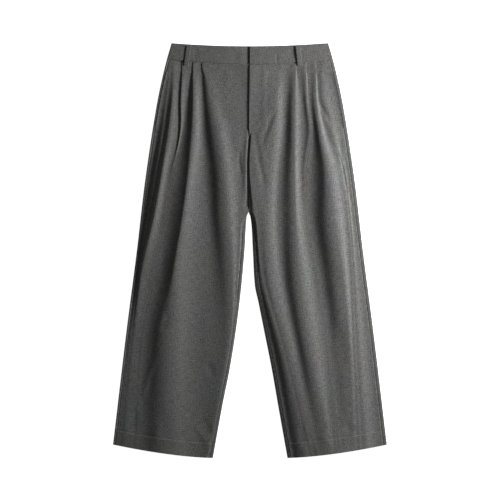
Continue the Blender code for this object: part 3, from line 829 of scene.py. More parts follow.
def cloth_piece(name, points, wall, flat=None, grain=None):
    """A cloth wall through rows of points, given as an array of rows, columns and xyz.

    The weave is measured on flat, the points before their small relief. grain is the
    column that the yarns follow down the piece, the middle one if none is given.
    """
    rows, columns = points.shape[:2]
    across, down, width = weave_of(points if flat is None else flat,
                                   columns // 2 if grain is None else grain)
    mesh = bmesh.new()
    bmesh.ops.create_grid(mesh, x_segments=columns - 1, y_segments=rows - 1, size=1.0)
    weave = mesh.loops.layers.uv.new("weave")
    place = {}
    for vert in mesh.verts:
        column = round((vert.co.x + 1) / 2 * (columns - 1))
        row = round((1 - vert.co.y) / 2 * (rows - 1))
        place[vert] = (across[row, column] * MM, -down[row] * MM)
        vert.co = points[row, column] * MM
    for face in mesh.faces:
        for loop in face.loops:
            loop[weave].uv = place[loop.vert]
    data = bpy.data.meshes.new(name)
    mesh.to_mesh(data)
    mesh.free()
    data.shade_smooth()
    piece = bpy.data.objects.new(name, data)
    garment.objects.link(piece)
    add_wall(piece, wall)
    print(name, rows, "x", columns, "points,", round(width), "x", round(down.max()), "mm flat")
    return piece


print("cloth goes into the collection", garment.name)

# %% [markdown]
# ## The fronts
# The section function gives the big folds and the relief adds the small forms. The
# relief lifts all the layers of a pleat together, so it can't push one through
# another, and it fades out at the edges, where the neighbours begin.

# %% Points of a leg panel
TUCK_START = 3.0          # the panel starts to roll in this far below the waist seam
TUCK_END = 0.2


def panel_points(section):
    """x, z and drop of a leg panel's points, by row and column."""
    x, z = np.moveaxis(np.array([section(drop) for drop in LEG_ROWS]), 2, 0)
    return x, z, np.repeat(np.array(LEG_ROWS)[:, None], x.shape[1], axis=1)


def panel_y(x, drop, tuck_width):
    """Y of a panel's points. tuck_width is 1 where the tucked-in top has its full length."""
    return np.vectorize(leg_y)(x, np.where(drop < 0, drop * tuck_width, drop))


def tuck_share(drop):
    """1 inside the waistband, 0 on the open leg."""
    return 1 - smoothstep(TUCK_END, TUCK_START, drop)


def placed(side, x, y, z):
    """Points of one half of the garment, whose x is measured outwards."""
    return np.stack([side * x, y, z], axis=2)


print("a panel rolls in over its top", TUCK_START, "mm")

# %% Fronts
LOWEST_FRONT_Z = 1.6
FRONT_TUCK_Z = 2.35       # a front's height inside the waistband
TUCK_SIDE_FADE = (-2.0, 3.0)          # the tucked-in top is shorter at both its ends
TUCK_CENTRE_FADE = (26.0, 34.0)


def make_front(name, side, folds, creases):
    x, z, drop = panel_points(lambda row: front_section(side, folds, row))
    from_side, from_centre = x[:, :1] - x, x - x[:, -1:]
    tuck_width = smoothstep(*TUCK_SIDE_FADE, from_side) * smoothstep(*TUCK_CENTRE_FADE, x)
    y = panel_y(x, drop, tuck_width)
    relief = front_relief(side, creases, x, y, drop, from_side, from_centre)
    lifted = np.maximum(z + relief, np.minimum(z, LOWEST_FRONT_Z))
    lifted += tuck_share(drop) * (np.minimum(lifted, FRONT_TUCK_Z) - lifted)
    grain = SIDE_EASE_COLUMNS     # the front pleat's edge is pressed along the yarns
    for fold in folds:
        grain += fold.columns
        if fold.name == "front_pleat_edge":
            break
    return cloth_piece(name, placed(side, x, y, lifted), CLOTH, placed(side, x, y, z),
                       grain * FINENESS)


front_right = make_front("cloth_front_right", -1, RIGHT_FRONT_FOLDS, RIGHT_FRONT_CREASES)
front_left = make_front("cloth_front_left", 1, LEFT_FRONT_FOLDS, LEFT_FRONT_CREASES)

# %% [markdown]
# ## The backs
# The back of a garment that lies down is pressed flat by its own weight, but it still
# lifts a little off the table under the big folds of the front, and its creases show
# from below. The relief here only rises, so the back never sinks into the table.

# %% Relief of a back
BACK_RIDGE_SHARE = 0.22   # how much of a front fold's height the back follows
BACK_RIDGE_REST = 6.0     # a fold lower than this leaves the back flat
BACK_RIDGE_WIDTH = 13.0
BACK_CREASE_FADE = (0.3, 1.4)         # a crease shows where the back is off the table
BACK_CREASES_RIGHT = (
    Crease("seat_crease", 9.0, 0.5, ((-40, 250), (-90, 205), (-130, 190))),
    Crease("knee_crease", 10.0, 0.8, ((-90, -20), (-150, -50), (-205, -40))),
    Crease("shin_crease", 9.0, 0.6, ((-140, -300), (-190, -330))),
)
BACK_CREASES_LEFT = (
    Crease("seat_crease", 9.0, 0.5, ((36, 240), (84, 214), (118, 180))),
    Crease("knee_crease", 10.0, 0.7, ((150, -30), (205, -70), (246, -66))),
    Crease("shin_crease", 9.0, 0.6, ((190, -340), (240, -360))),
)


def back_relief(side, folds, creases, x, y, drop):
    height = np.zeros_like(x)
    for fold in folds:
        line, top = (np.array([along(DROPS, values, row) for row in LEG_ROWS])[:, None]
                     for values in (fold.x, fold.z))
        rise = BACK_RIDGE_SHARE * np.maximum(top - BACK_RIDGE_REST, 0.0)
        height = np.maximum(height, rise * bell(x - line, BACK_RIDGE_WIDTH))
    height += crease_relief(creases, side * x, y) * smoothstep(*BACK_CREASE_FADE, height)
    return height + HEM_LINE_DEPTH * bell(LEG_DROP - drop - HEM_DEPTH, HEM_LINE_WIDTH)


highest_fold = max(max(fold.z) for fold in LEFT_FRONT_FOLDS)
print("a back lifts up to", round(BACK_RIDGE_SHARE * (highest_fold - BACK_RIDGE_REST), 1), "mm")

# %% Backs
BACK_TUCK_Z = 1.6
BACK_EDGE_FADE = 16.0
BACK_WAIST_FADE = 40.0
LIP_PUCKER_WIDTH = 2.0


def back_edge_fade(distance):
    return smoothstep(SEAM_INSET, SEAM_INSET + BACK_EDGE_FADE, distance)


def make_back(name, side, folds, creases):
    x, z, drop = panel_points(lambda row: back_section(side, row))
    inside = back_edge_fade(x.max(axis=1, keepdims=True) - x)
    y = panel_y(x, drop, inside)
    unformed = placed(side, x, y, z)
    flat = z < CLOTH
    fade = inside * back_edge_fade(x - x.min(axis=1, keepdims=True))
    fade *= smoothstep(0.0, BACK_WAIST_FADE, drop)
    z = z + back_relief(side, folds, creases, x, y, drop) * fade * flat
    z += tuck_share(drop) * (BACK_TUCK_Z - z) * flat * inside
    from_lip = x - x[:, :1]
    puckers = pucker(y[:, :1], SIDE_PUCKER_LAYER + side) * smoothstep(0.0, WAIST_FADE, drop)
    roll = SEAM_ROLL_DEPTH * bell(from_lip, SEAM_ROLL_WIDTH)
    roll -= puckers / 2 * bell(from_lip - LIP_PUCKER_WIDTH, LIP_PUCKER_WIDTH)
    z -= np.where((z > 2 * CLOTH) & (x > x.mean()), roll, 0.0)
    return cloth_piece(name, placed(side, x, y, z), CLOTH, unformed)


back_right = make_back("cloth_back_right", -1, RIGHT_FRONT_FOLDS, BACK_CREASES_RIGHT)
back_left = make_back("cloth_back_left", 1, LEFT_FRONT_FOLDS, BACK_CREASES_LEFT)

# %% [markdown]
# ## The waistband
# A waistband is a strip of suiting over stiff interfacing, folded at the top. It stays
# smoother than the legs. Its right half carries on under the left one at the fly, and
# the hook behind that lap pulls a short upright dent. A box with round edges would look
# the same from afar, but a wall that is folded like the real strip also shows its two
# layers from above.

# %% Section of the waistband
BAND_CLOTH = 1.2          # suiting and interfacing
BAND_EDGE_RADIUS = 1.95
BAND_Z = BAND_CLOTH / 2 + 2 * BAND_EDGE_RADIUS
BAND_BACK_COLUMNS = 70
BAND_CURL_COLUMNS = 12
BAND_FRONT_COLUMNS = 120
BAND_FLY_CROWDING = 1.5   # how strongly the front columns crowd towards the fly
BAND_LIP = 1.0
BAND_UNDERLAP = 28.0      # how far the right half carries on beneath the left one
BAND_UNDERLAP_SINK = 0.9
BAND_UNDERLAP_LEVEL = 3.0
BAND_LAP_RISE = 1.7       # how far the left half climbs over the right one
BAND_LAP_RUN = 84.0
BAND_LAP_LEVEL = 0.0


def band_height(side, x):
    """Mid-wall height of the waistband's front layer."""
    if side > 0:
        return BAND_Z + BAND_LAP_RISE * smoothstep(BAND_LAP_RUN, BAND_LAP_LEVEL, x)
    return BAND_Z - BAND_UNDERLAP_SINK * smoothstep(BAND_UNDERLAP, BAND_UNDERLAP_LEVEL, x)


def band_section(side, fold_x, lap):
    """(x, z) of a waistband row: the back layer, the folded side edge, the front layer."""
    curl = curled_edge(math.pi, BAND_EDGE_RADIUS, BAND_LIP, BAND_CLOTH, fold_x,
                       BAND_CURL_COLUMNS)
    centre_x = SEAM_GAP / 2
    points = [(centre_x + (curl[0][0] - centre_x) * i / BAND_BACK_COLUMNS, BAND_CLOTH / 2)
              for i in range(BAND_BACK_COLUMNS)]
    points += curl
    start_x = curl[-1][0]
    end_x = -lap if side > 0 else -BAND_UNDERLAP
    for i in range(1, BAND_FRONT_COLUMNS + 1):
        share = 1 - (1 - i / BAND_FRONT_COLUMNS) ** BAND_FLY_CROWDING
        x = start_x + (end_x - start_x) * share
        points.append((x, band_height(side, x)))
    return points


print("at the fly the left half is", round(BAND_Z + BAND_LAP_RISE, 1), "mm high, the right",
      round(BAND_Z - BAND_UNDERLAP_SINK, 1), "mm")

# %% Waistband
BAND_ROWS = 30
BAND_ROLL_DEPTH = 0.7     # how far its top edge rolls off
BAND_ROLL_WIDTH = 2.0
BAND_FOOT_DEPTH = 0.9     # and its lower edge, into the waist seam
BAND_FOOT_WIDTH = 1.8
BAND_WAVE_HEIGHT = 0.35
BAND_WAVE_ACROSS = 24.0
BAND_WAVE_ALONG = 46.0
BAND_WAVE_LAYER = 9.0
BAND_SIDE_FADE = (2.0, 14.0)
BAND_END_FADE = (0.0, 6.0)
BAND_FRONT_LAYER_Z = 1.3 * BAND_CLOTH     # what lies higher is the front layer
BAND_CREASES = (
    Crease("hook_dent", 1.9, -0.7, ((68.8, 503), (68.8, 488), (68.6, 474))),
    Crease("hook_swell", 9.0, 0.35, ((56, 500), (56, 486))),
    Crease("left_loop_dent", 7.0, -0.5, ((104, 516), (106, 486))),
    Crease("right_loop_dent", 7.0, -0.5, ((-138, 518), (-141, 486))),
    Crease("left_end_pull", 8.0, 0.4, ((18, 512), (34, 492))),
    Crease("right_end_pull", 8.0, -0.4, ((-20, 506), (-44, 488))),
)


def make_waistband(name, side):
    corner_foot_y = WAIST_SEAM_Y + WAIST_SEAM_RISE
    rows = []
    for row in range(BAND_ROWS + 1):
        t = row / BAND_ROWS
        row_y = TOP_CORNER_Y + (corner_foot_y - TOP_CORNER_Y) * t
        fold_x = edge_at(SIDE_EDGE, row_y)
        points = []
        for x, z in band_section(side, fold_x, fly_lap(row_y)):
            top_y, foot_y = top_edge_y(x), waist_seam_y(x) + SEAM_GAP / 2
            points.append((x, top_y + (foot_y - top_y) * t, z))
        rows.append(points)
    x, y, z = np.moveaxis(np.array(rows), 2, 0)
    inside = smoothstep(*BAND_SIDE_FADE, x.max(axis=1, keepdims=True) - x)
    inside *= smoothstep(*BAND_END_FADE, x - x[:, -1:])
    wave = noise_at(x / BAND_WAVE_ALONG, y / BAND_WAVE_ACROSS, side + BAND_WAVE_LAYER)
    relief = (crease_relief(BAND_CREASES, side * x, y) + BAND_WAVE_HEIGHT * wave) * inside
    relief -= BAND_ROLL_DEPTH * bell(y[:1] - y, BAND_ROLL_WIDTH)
    relief -= BAND_FOOT_DEPTH * bell(y - y[-1:], BAND_FOOT_WIDTH)
    z = z + np.where(z > BAND_FRONT_LAYER_Z, relief, 0.0)
    return cloth_piece(name, placed(side, x, y, z), BAND_CLOTH)


waistband_right = make_waistband("cloth_waistband_right", -1)
waistband_left = make_waistband("cloth_waistband_left", 1)

# %% [markdown]
# ## Belt loops
# A belt loop is a narrow strip with turned-in edges, stitched down at both ends and
# standing off the band between them. Its height is found by rays cast straight down
# on the cloth that it is sewn to. A shrinkwrap modifier would do the same, but it
# would press the loop flat on the band.

# %% The top of the cloth
RAY_START = 0.1           # metres over the table


def surface_of(*pieces):
    """A function that gives the top of the cloth at a place, in millimetres."""
    graph = bpy.context.evaluated_depsgraph_get()
    trees = [BVHTree.FromObject(piece, graph) for piece in pieces]

    def top(x, y):
        start = Vector((x * MM, y * MM, RAY_START))
        hits = [tree.ray_cast(start, Vector((0, 0, -1)))[0] for tree in trees]
        heights = [hit.z for hit in hits if hit is not None]
        return max(heights) / MM if heights else None

    return top


under_loops = surface_of(waistband_right, waistband_left, front_right, front_left)
print("the waistband's left half stands",
      round(under_loops(WAIST_HALF_WIDTH / 2, (WAIST_SEAM_Y + TOP_CORNER_Y) / 2), 1), "mm high")

# %% Belt loops
LOOP_CLOTH = 1.1
BeltLoop = namedtuple("BeltLoop", "name top_x foot_x standoff tilt")
BELT_LOOPS = (
    BeltLoop("cloth_belt_loop_right", -156.0, -163.0, 0.15, 0.0),
    BeltLoop("cloth_belt_loop_left", 122.0, 127.5, 0.5, 0.3),
)
LOOP_WIDTH = 12.5
LOOP_TOP_Y = 522.0
LOOP_FOOT_Y = 471.0
LOOP_REST = 0.08          # air between the loop and what it is sewn to
LOOP_RISE_END = 0.22
LOOP_FALL_START = 0.5
LOOP_FALL_END = 0.7
LOOP_SOFTNESS = 3         # rows over which it eases over the waist seam
LOOP_ROWS = 56
LOOP_COLUMNS = 14
LOOP_CROWN = 0.35         # the turned-in edges make its middle stand up


def make_belt_loop(loop, top):
    share = np.linspace(0.0, 1.0, LOOP_ROWS + 1)
    across = np.linspace(-1.0, 1.0, LOOP_COLUMNS + 1)
    middle = loop.top_x + (loop.foot_x - loop.top_x) * share
    y = LOOP_TOP_Y + (LOOP_FOOT_Y - LOOP_TOP_Y) * share
    seat = np.array([max(top(x + LOOP_WIDTH / 2 * u, row_y) for u in across)
                     for x, row_y in zip(middle, y)])
    seat = np.array([seat[max(0, k - LOOP_SOFTNESS):k + LOOP_SOFTNESS + 1].max()
                     for k in range(len(seat))])
    padded = np.pad(seat, LOOP_SOFTNESS, mode="edge")
    seat = np.convolve(padded, np.ones(2 * LOOP_SOFTNESS + 1) / (2 * LOOP_SOFTNESS + 1), "valid")
    lift = smoothstep(0.0, LOOP_RISE_END, share)
    lift *= 1 - smoothstep(LOOP_FALL_START, LOOP_FALL_END, share)
    z = seat + LOOP_REST + LOOP_CLOTH / 2 + loop.standoff * lift
    points = np.zeros((LOOP_ROWS + 1, LOOP_COLUMNS + 1, 3))
    points[:, :, 0] = middle[:, None] + LOOP_WIDTH / 2 * across
    points[:, :, 1] = y[:, None]
    points[:, :, 2] = z[:, None] + LOOP_CROWN * (1 - across**4) + loop.tilt * (1 - across)
    return cloth_piece(loop.name, points, LOOP_CLOTH)


belt_loops = [make_belt_loop(loop, under_loops) for loop in BELT_LOOPS]

# %% [markdown]
# ## Pocket facings
# A facing is the strip of suiting that backs the pocket mouth, so that the lining
# doesn't show when the mouth stands open. Only this much of the pocket can be seen, so
# a plain strip between the two layers does for it.

# %% Pocket facings
FACING_WIDTH = 11.0
FACING_INSET = 4.0
FACING_Z = 2.5
FACING_ROWS = 60
FACING_COLUMNS = 8


def make_pocket_facing(name, side):
    rows = []
    for row in range(FACING_ROWS + 1):
        y = POCKET_TOP_Y + (POCKET_BASE_Y - POCKET_TOP_Y) * row / FACING_ROWS
        outer_x = edge_at(SIDE_EDGE, y) - FACING_INSET
        rows.append([(side * (outer_x - FACING_WIDTH * i / FACING_COLUMNS), y, FACING_Z)
                     for i in range(FACING_COLUMNS + 1)])
    return cloth_piece(name, np.array(rows), CLOTH)


facing_right = make_pocket_facing("cloth_pocket_facing_right", -1)
facing_left = make_pocket_facing("cloth_pocket_facing_left", 1)

# %% [markdown]
# ## Sewing
# A stitch is a short length of thread that dives into the cloth at both ends, so a
# flattened bead is its true shape. The beads follow a line drawn on the garment and
# take their height from the cloth below, found by a ray cast straight down. A texture
# could paint them, but beads catch the light and stand up when seen from the side. A
# bar tack is the dense zigzag that stops a pocket or a loop from tearing.

# %% Places along a line
STITCH_PITCH = 3.1


def points_along(path, pitch):
    """Evenly spaced places along a path, each with its direction."""
    path = [Vector(point) for point in path]
    places = []
    carried = pitch / 2
    for a, b in zip(path[:-1], path[1:]):
        length = (b - a).length
        direction = (b - a) / length
        while carried < length:
            places.append((a + direction * carried, direction))
            carried += pitch
        carried -= length
    return places


print(len(points_along(FLY_STITCH, STITCH_PITCH)), "stitches along the fly")

# %% One stitch
THREAD_WIDTH = 0.55
THREAD_SQUASH = 1.3       # a stitch is this many times wider than high


def add_stitch(mesh, top, place, direction, length):
    ahead, behind = place + direction * length / 2, place - direction * length / 2
    z_ahead, z_behind = top(*ahead), top(*behind)
    if z_ahead is None or z_behind is None:
        return
    run = Vector((*(ahead - behind), z_ahead - z_behind)).normalized()
    side = Vector((0, 0, 1)).cross(run).normalized()
    turn = Matrix((run, side, run.cross(side))).transposed().to_4x4()
    size = Matrix.Diagonal((length / 2, THREAD_WIDTH / 2, THREAD_WIDTH / 2 / THREAD_SQUASH, 1))
    middle = Vector((*place, (z_ahead + z_behind) / 2))
    matrix = Matrix.Scale(MM, 4) @ Matrix.Translation(middle) @ turn @ size
    bmesh.ops.create_icosphere(mesh, subdivisions=1, radius=1.0, matrix=matrix)


print("a stitch is", round(THREAD_WIDTH / THREAD_SQUASH, 2), "mm high")

# %% Rows of stitches and bar tacks
STITCH_LENGTH = 2.5
TACK_PITCH = 0.7


def finish_thread(name, mesh):
    data = bpy.data.meshes.new(name)
    mesh.to_mesh(data)
    mesh.free()
    data.shade_smooth()
    thread = bpy.data.objects.new(name, data)
    garment.objects.link(thread)
    print(name, len(data.polygons), "faces")
    return thread


def sew(name, top, paths):
    mesh = bmesh.new()
    for path in paths:
        for place, direction in points_along(path, STITCH_PITCH):
            add_stitch(mesh, top, place, direction, STITCH_LENGTH)
    return finish_thread(name, mesh)


def bar_tack(name, top, bars):
    """Short stitches side by side across each bar."""
    mesh = bmesh.new()
    for start, end, width in bars:
        for place, direction in points_along((start, end), TACK_PITCH):
            across = Vector((-direction.y, direction.x))
            add_stitch(mesh, top, place, across, width)
    return finish_thread(name, mesh)


print("a stitch of", STITCH_LENGTH, "mm every", STITCH_PITCH, "mm")

# %% [markdown]
# The fly is caught down by one curved line of stitches. The belt loops have a line
# along each edge and a bar tack at each end, and the pocket mouths a tack at each end.

# %% Sew the trousers
LOOP_STITCH_MARGIN = 1.6  # between a loop's long edges and its stitches
LOOP_STITCH_END = 1.5     # between its short edges and the first and last stitch
LOOP_TACK_MARGIN = 1.2
LOOP_TACK_FROM_TOP = 2.0
LOOP_TACK_FROM_FOOT = 2.2
LOOP_TACK_WIDTH = 1.6
MOUTH_TACK_REACH = (1.5, -7.0)        # past the pocket mouth and back from it
MOUTH_TACK_HEIGHTS = (POCKET_TOP_Y + 1.0, POCKET_BASE_Y + 4.0)
MOUTH_TACK_WIDTH = 1.8


def loop_edge(loop, inset):
    return ((loop.top_x + inset, LOOP_TOP_Y - LOOP_STITCH_END),
            (loop.foot_x + inset, LOOP_FOOT_Y + LOOP_STITCH_END))


def loop_bars(loop):
    """The bar tacks at the top and the foot of a belt loop."""
    half = LOOP_WIDTH / 2 - LOOP_TACK_MARGIN
    return [((x - half, y), (x + half, y), LOOP_TACK_WIDTH)
            for x, y in ((loop.top_x, LOOP_TOP_Y - LOOP_TACK_FROM_TOP),
                         (loop.foot_x, LOOP_FOOT_Y + LOOP_TACK_FROM_FOOT))]


def mouth_bar(side, y):
    """The bar tack at one end of a pocket mouth."""
    x = front_outer_x(side, y)
    outer, inner = MOUTH_TACK_REACH
    return (side * (x + outer), y), (side * (x + inner), y), MOUTH_TACK_WIDTH


fly_thread = sew("thread_fly", surface_of(front_left), [FLY_STITCH])
loop_top = surface_of(*belt_loops)
loop_inset = LOOP_WIDTH / 2 - LOOP_STITCH_MARGIN
loop_thread = sew("thread_belt_loops", loop_top, [
    loop_edge(loop, inset) for loop in BELT_LOOPS for inset in (-loop_inset, loop_inset)])
loop_tacks = bar_tack("thread_loop_tacks", loop_top,
                      [bar for loop in BELT_LOOPS for bar in loop_bars(loop)])
pocket_top = surface_of(front_left, front_right, back_left, back_right)
pocket_tacks = bar_tack("thread_pocket_tacks", pocket_top, [
    mouth_bar(side, y) for side in (-1, 1) for y in MOUTH_TACK_HEIGHTS])

# %% [markdown]
# ## Materials
# Colours are picked as sRGB hex values, as on a shade card, and one function turns
# them to the linear values that the renderer works in. Another adds a node with its
# settings and links, which keeps each material's recipe readable. A Mix node's two
# colours are its inputs 6 and 7, because its numbers and vectors are called A and B too.

# %% Material helpers
def linear(hex_colour):
    """sRGB hex to linear RGBA."""
    channels = [int(hex_colour[i:i + 2], 16) / 255 for i in (1, 3, 5)]
    return (*[c / 12.92 if c <= 0.04045 else ((c + 0.055) / 1.055) ** 2.4
              for c in channels], 1.0)


def add_node(tree, kind, settings=None, inputs=None):
    """One node, with its settings, and its inputs set to values or linked to sockets."""
    node = tree.nodes.new(kind)
    for name, value in (settings or {}).items():
        setattr(node, name, value)
    for name, value in (inputs or {}).items():
        if isinstance(value, bpy.types.NodeSocket):
            tree.links.new(value, node.inputs[name])
        else:
            node.inputs[name].default_value = value
    return node


print("half of full sRGB is", round(linear("#808080")[0], 3), "in linear light")

# %% [markdown]
# ### Suiting
# The cloth is a wool-blend suiting: dark and pale fibres are mixed before spinning,
# so every yarn is mottled, which tailors call heathered, and the yarns are woven in a
# fine 2/2 twill. The nap hides gloss, so roughness is high, and a trace of sheen
# lightens the slopes that turn away. Real yarns are 0.4 mm apart. The mottle is drawn
# in flecks of 2 to 3 mm, as coarse as it needs to show, and the twill at 1.3 mm. The
# pattern follows the weave map, so it turns with the cloth where a fold does.

# %% Wool-blend suiting
M_TO_MM = 1000.0
FLECK_MM = 2.6
YARN_WIDTH_MM = 1.7
YARN_LENGTH_MM = 16.0
TWILL_MM = 1.3
CLOUD_MM = 90.0
WAVE_BANDS = 3.18         # stripes in one unit of a Wave texture
DARK_FIBRE = "#353534"
PALE_FIBRE = "#727271"
YARN_SHARE = 0.35         # of the yarns in the mottle, next to the flecks
MOTTLE_DARK, MOTTLE_PALE = 0.55, 1.15
CLOUD_SHARE = 0.12
RIB_SHARE = 0.18
RIB_RELIEF = 0.5


def make_suiting():
    material = bpy.data.materials.new("wool_blend_twill_suiting")
    material.use_nodes = True
    tree = material.node_tree
    shader = tree.nodes["Principled BSDF"]
    weave = add_node(tree, "ShaderNodeUVMap", {"uv_map": "weave"})
    in_mm = add_node(tree, "ShaderNodeMapping", inputs={
        "Vector": weave.outputs["UV"], "Scale": (M_TO_MM, M_TO_MM, 1.0)})
    fleck = add_node(tree, "ShaderNodeTexNoise", {"noise_dimensions": "2D"}, {
        "Vector": in_mm.outputs["Vector"], "Scale": 1 / FLECK_MM, "Detail": 2.0,
        "Roughness": 0.75})
    streaks = []
    for across, down in ((YARN_WIDTH_MM, YARN_LENGTH_MM), (YARN_LENGTH_MM, YARN_WIDTH_MM)):
        drawn_out = add_node(tree, "ShaderNodeMapping", inputs={
            "Vector": in_mm.outputs["Vector"], "Scale": (1 / across, 1 / down, 1.0)})
        streaks.append(add_node(tree, "ShaderNodeTexNoise", {"noise_dimensions": "2D"}, {
            "Vector": drawn_out.outputs["Vector"], "Scale": 1.0, "Detail": 1.0}))
    warp, weft = streaks
    cloud = add_node(tree, "ShaderNodeTexNoise", {"noise_dimensions": "2D"}, {
        "Vector": in_mm.outputs["Vector"], "Scale": 1 / CLOUD_MM, "Detail": 2.0})
    twill = add_node(tree, "ShaderNodeTexWave",
                     {"wave_type": "BANDS", "bands_direction": "DIAGONAL"}, {
                         "Vector": in_mm.outputs["Vector"],
                         "Scale": 1 / (TWILL_MM * math.sqrt(2) * WAVE_BANDS),
                         "Distortion": 1.2, "Detail": 1.0, "Detail Scale": 0.6})
    yarns = add_node(tree, "ShaderNodeMath", {"operation": "ADD"}, {
        0: warp.outputs["Fac"], 1: weft.outputs["Fac"]})
    mottle = add_node(tree, "ShaderNodeMath", {"operation": "MULTIPLY_ADD"}, {
        0: yarns.outputs[0], 1: YARN_SHARE, 2: fleck.outputs["Fac"]})
    shade = add_node(tree, "ShaderNodeMapRange", inputs={
        "Value": mottle.outputs[0], "From Min": MOTTLE_DARK, "From Max": MOTTLE_PALE})
    tone = add_node(tree, "ShaderNodeMix", {"data_type": "RGBA"}, {
        0: shade.outputs[0], 6: linear(DARK_FIBRE), 7: linear(PALE_FIBRE)})
    clouded = add_node(tree, "ShaderNodeMix", {"data_type": "RGBA", "blend_type": "MULTIPLY"}, {
        0: CLOUD_SHARE, 6: tone.outputs[2], 7: cloud.outputs["Color"]})
    ribbed = add_node(tree, "ShaderNodeMix", {"data_type": "RGBA", "blend_type": "MULTIPLY"}, {
        0: RIB_SHARE, 6: clouded.outputs[2], 7: twill.outputs["Color"]})
    relief = add_node(tree, "ShaderNodeMath", {"operation": "MULTIPLY_ADD"}, {
        0: twill.outputs["Fac"], 1: RIB_RELIEF, 2: mottle.outputs[0]})
    bump = add_node(tree, "ShaderNodeBump", inputs={
        "Height": relief.outputs[0], "Strength": 0.35, "Distance": 0.00025})
    tree.links.new(ribbed.outputs[2], shader.inputs["Base Color"])
    tree.links.new(bump.outputs["Normal"], shader.inputs["Normal"])
    shader.inputs["Roughness"].default_value = 0.93
    shader.inputs["Specular IOR Level"].default_value = 0.2
    shader.inputs["Sheen Weight"].default_value = 0.05
    shader.inputs["Sheen Roughness"].default_value = 0.5
    return material


suiting = make_suiting()
print(suiting.name, "has", len(suiting.node_tree.nodes), "nodes")

# %% [markdown]
# ### Sewing thread
# Core-spun polyester thread: two plies twisted together, a shade darker than the
# cloth, a little smoother and so a little glossier. The plies are too fine to model, so
# slanted bands of a Wave texture draw them.

# %% Sewing thread
PLY_MM = 0.6
PLY_SHADES = ("#404040", "#565655")


def make_thread_material():
    material = bpy.data.materials.new("core_spun_polyester_thread")
    material.use_nodes = True
    tree = material.node_tree
    shader = tree.nodes["Principled BSDF"]
    place = add_node(tree, "ShaderNodeTexCoord")
    in_mm = add_node(tree, "ShaderNodeMapping", inputs={
        "Vector": place.outputs["Object"], "Scale": (M_TO_MM, M_TO_MM, M_TO_MM)})
    plies = add_node(tree, "ShaderNodeTexWave", {"bands_direction": "DIAGONAL"}, {
        "Vector": in_mm.outputs["Vector"], "Scale": 1 / (PLY_MM * WAVE_BANDS),
        "Distortion": 0.6})
    dark, pale = map(linear, PLY_SHADES)
    tone = add_node(tree, "ShaderNodeMix", {"data_type": "RGBA"}, {
        0: plies.outputs["Fac"], 6: dark, 7: pale})
    bump = add_node(tree, "ShaderNodeBump", inputs={
        "Height": plies.outputs["Fac"], "Strength": 0.5, "Distance": 0.0001})
    tree.links.new(tone.outputs[2], shader.inputs["Base Color"])
    tree.links.new(bump.outputs["Normal"], shader.inputs["Normal"])
    shader.inputs["Roughness"].default_value = 0.6
    return material


thread = make_thread_material()
print(thread.name, "has", len(thread.node_tree.nodes), "nodes")

# %% [markdown]
# Each cloth piece stands for one solid of the rigid model, whose part it hides, and
# rides on the model's root. The table also lists how large each piece was before it
# was sewn.

# %% Ride and replace
Sheet = namedtuple("Sheet", "piece node width length area rests_on")
SHEETS = (
    Sheet(front_right, "front_right", 0.281, 1.009, 0.262, ("back_right",)),
    Sheet(front_left, "front_left", 0.278, 1.011, 0.262, ("back_left",)),
    Sheet(back_right, "back_right", 0.295, 1.006, 0.277, ()),
    Sheet(back_left, "back_left", 0.305, 1.006, 0.283, ()),
    Sheet(waistband_right, "waistband_right", 0.453, 0.045, None, ("back_right",)),
    Sheet(waistband_left, "waistband_left", 0.426, 0.045, None, ("back_left",)),
    Sheet(belt_loops[0], "belt_loop_right", 0.0125, 0.052, None, ("waistband_right",)),
    Sheet(belt_loops[1], "belt_loop_left", 0.0125, 0.052, None, ("waistband_left",)),
    Sheet(facing_right, "pocket_facing_right", 0.011, 0.165, None, ("back_right",)),
    Sheet(facing_left, "pocket_facing_left", 0.011, 0.165, None, ("back_left",)),
)
for sheet in SHEETS:
    sheet.piece.data.materials.append(suiting)
    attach(sheet.piece, "root")
    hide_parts(sheet.node)
    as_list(sheet.rests_on)
for stitches in (fly_thread, loop_thread, loop_tacks, pocket_tacks):
    stitches.data.materials.append(thread)
    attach(stitches, "root")
print(len(SHEETS), "cloth pieces declared")

# %% [markdown]
# ## Floor
# A matt white floor lies just below the cloth. A glow of its own keeps it white out to
# the edges and its shadows pale, as on paper that is lit from every side.

# %% Floor
FLOOR_SIZE = 8.0
FLOOR_Z = -0.0006
PAPER_GLOW = 0.92

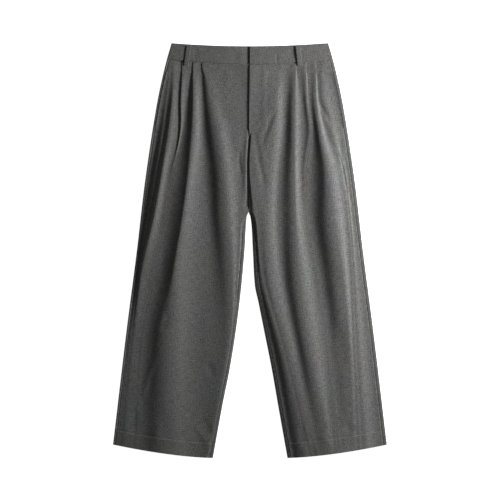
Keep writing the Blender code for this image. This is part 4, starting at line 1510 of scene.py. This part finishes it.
bpy.ops.mesh.primitive_plane_add(size=FLOOR_SIZE, location=(0, 0, FLOOR_Z))
floor = bpy.context.object
floor.name = "floor"
paper = bpy.data.materials.new("matt_white_paper")
paper.use_nodes = True
paper_shader = paper.node_tree.nodes["Principled BSDF"]
paper_shader.inputs["Base Color"].default_value = linear("#f4f4f3")
paper_shader.inputs["Roughness"].default_value = 1.0
paper_shader.inputs["Specular IOR Level"].default_value = 0.0
paper_shader.inputs["Emission Color"].default_value = linear("#ffffff")
paper_shader.inputs["Emission Strength"].default_value = PAPER_GLOW
floor.data.materials.append(paper)
print("floor", FLOOR_SIZE, "m wide")

# %% [markdown]
# ## Light
# One soft lamp stands low on the wearer's left, with a faint even fill. Low light is
# what shows folds: a slope of a few degrees changes how much of it the cloth catches.

# %% Lamp and fill
KEY_DISTANCE = 1.5
KEY_ELEVATION = math.radians(19)
KEY_AZIMUTH = math.radians(21)
KEY_SIZE = 0.30
KEY_POWER = 65.0
FILL_STRENGTH = 0.13

key_data = bpy.data.lights.new("key", "AREA")
key_data.shape = "DISK"
key_data.size = KEY_SIZE
key_data.energy = KEY_POWER
key = bpy.data.objects.new("key", key_data)
key.location = Vector((math.cos(KEY_ELEVATION) * math.cos(KEY_AZIMUTH),
                       math.cos(KEY_ELEVATION) * math.sin(KEY_AZIMUTH),
                       math.sin(KEY_ELEVATION))) * KEY_DISTANCE
key.rotation_euler = (-key.location).to_track_quat("-Z", "Y").to_euler()
bpy.context.scene.collection.objects.link(key)

world = bpy.data.worlds.new("even_fill")
world.use_nodes = True
fill = world.node_tree.nodes["Background"]
fill.inputs["Color"].default_value = linear("#ffffff")
fill.inputs["Strength"].default_value = FILL_STRENGTH
bpy.context.scene.world = world
print("lamp", round(key.location.z, 2), "m over the floor,", KEY_DISTANCE, "m away")

# %% [markdown]
# ## Camera
# The camera looks straight down with parallel rays, so no fold hides another.

# %% Camera
VIEW_WIDTH = 1.275        # metres across the view
CAMERA_Y = 0.0013
CAMERA_HEIGHT = 3.0

bpy.context.scene.view_settings.view_transform = "Standard"
camera_data = bpy.data.cameras.new("camera")
camera_data.type = "ORTHO"
camera_data.ortho_scale = VIEW_WIDTH
camera = bpy.data.objects.new("camera", camera_data)
camera.location = (0.0, CAMERA_Y, CAMERA_HEIGHT)
bpy.context.scene.collection.objects.link(camera)
bpy.context.scene.camera = camera
print("the view is", VIEW_WIDTH, "m wide")
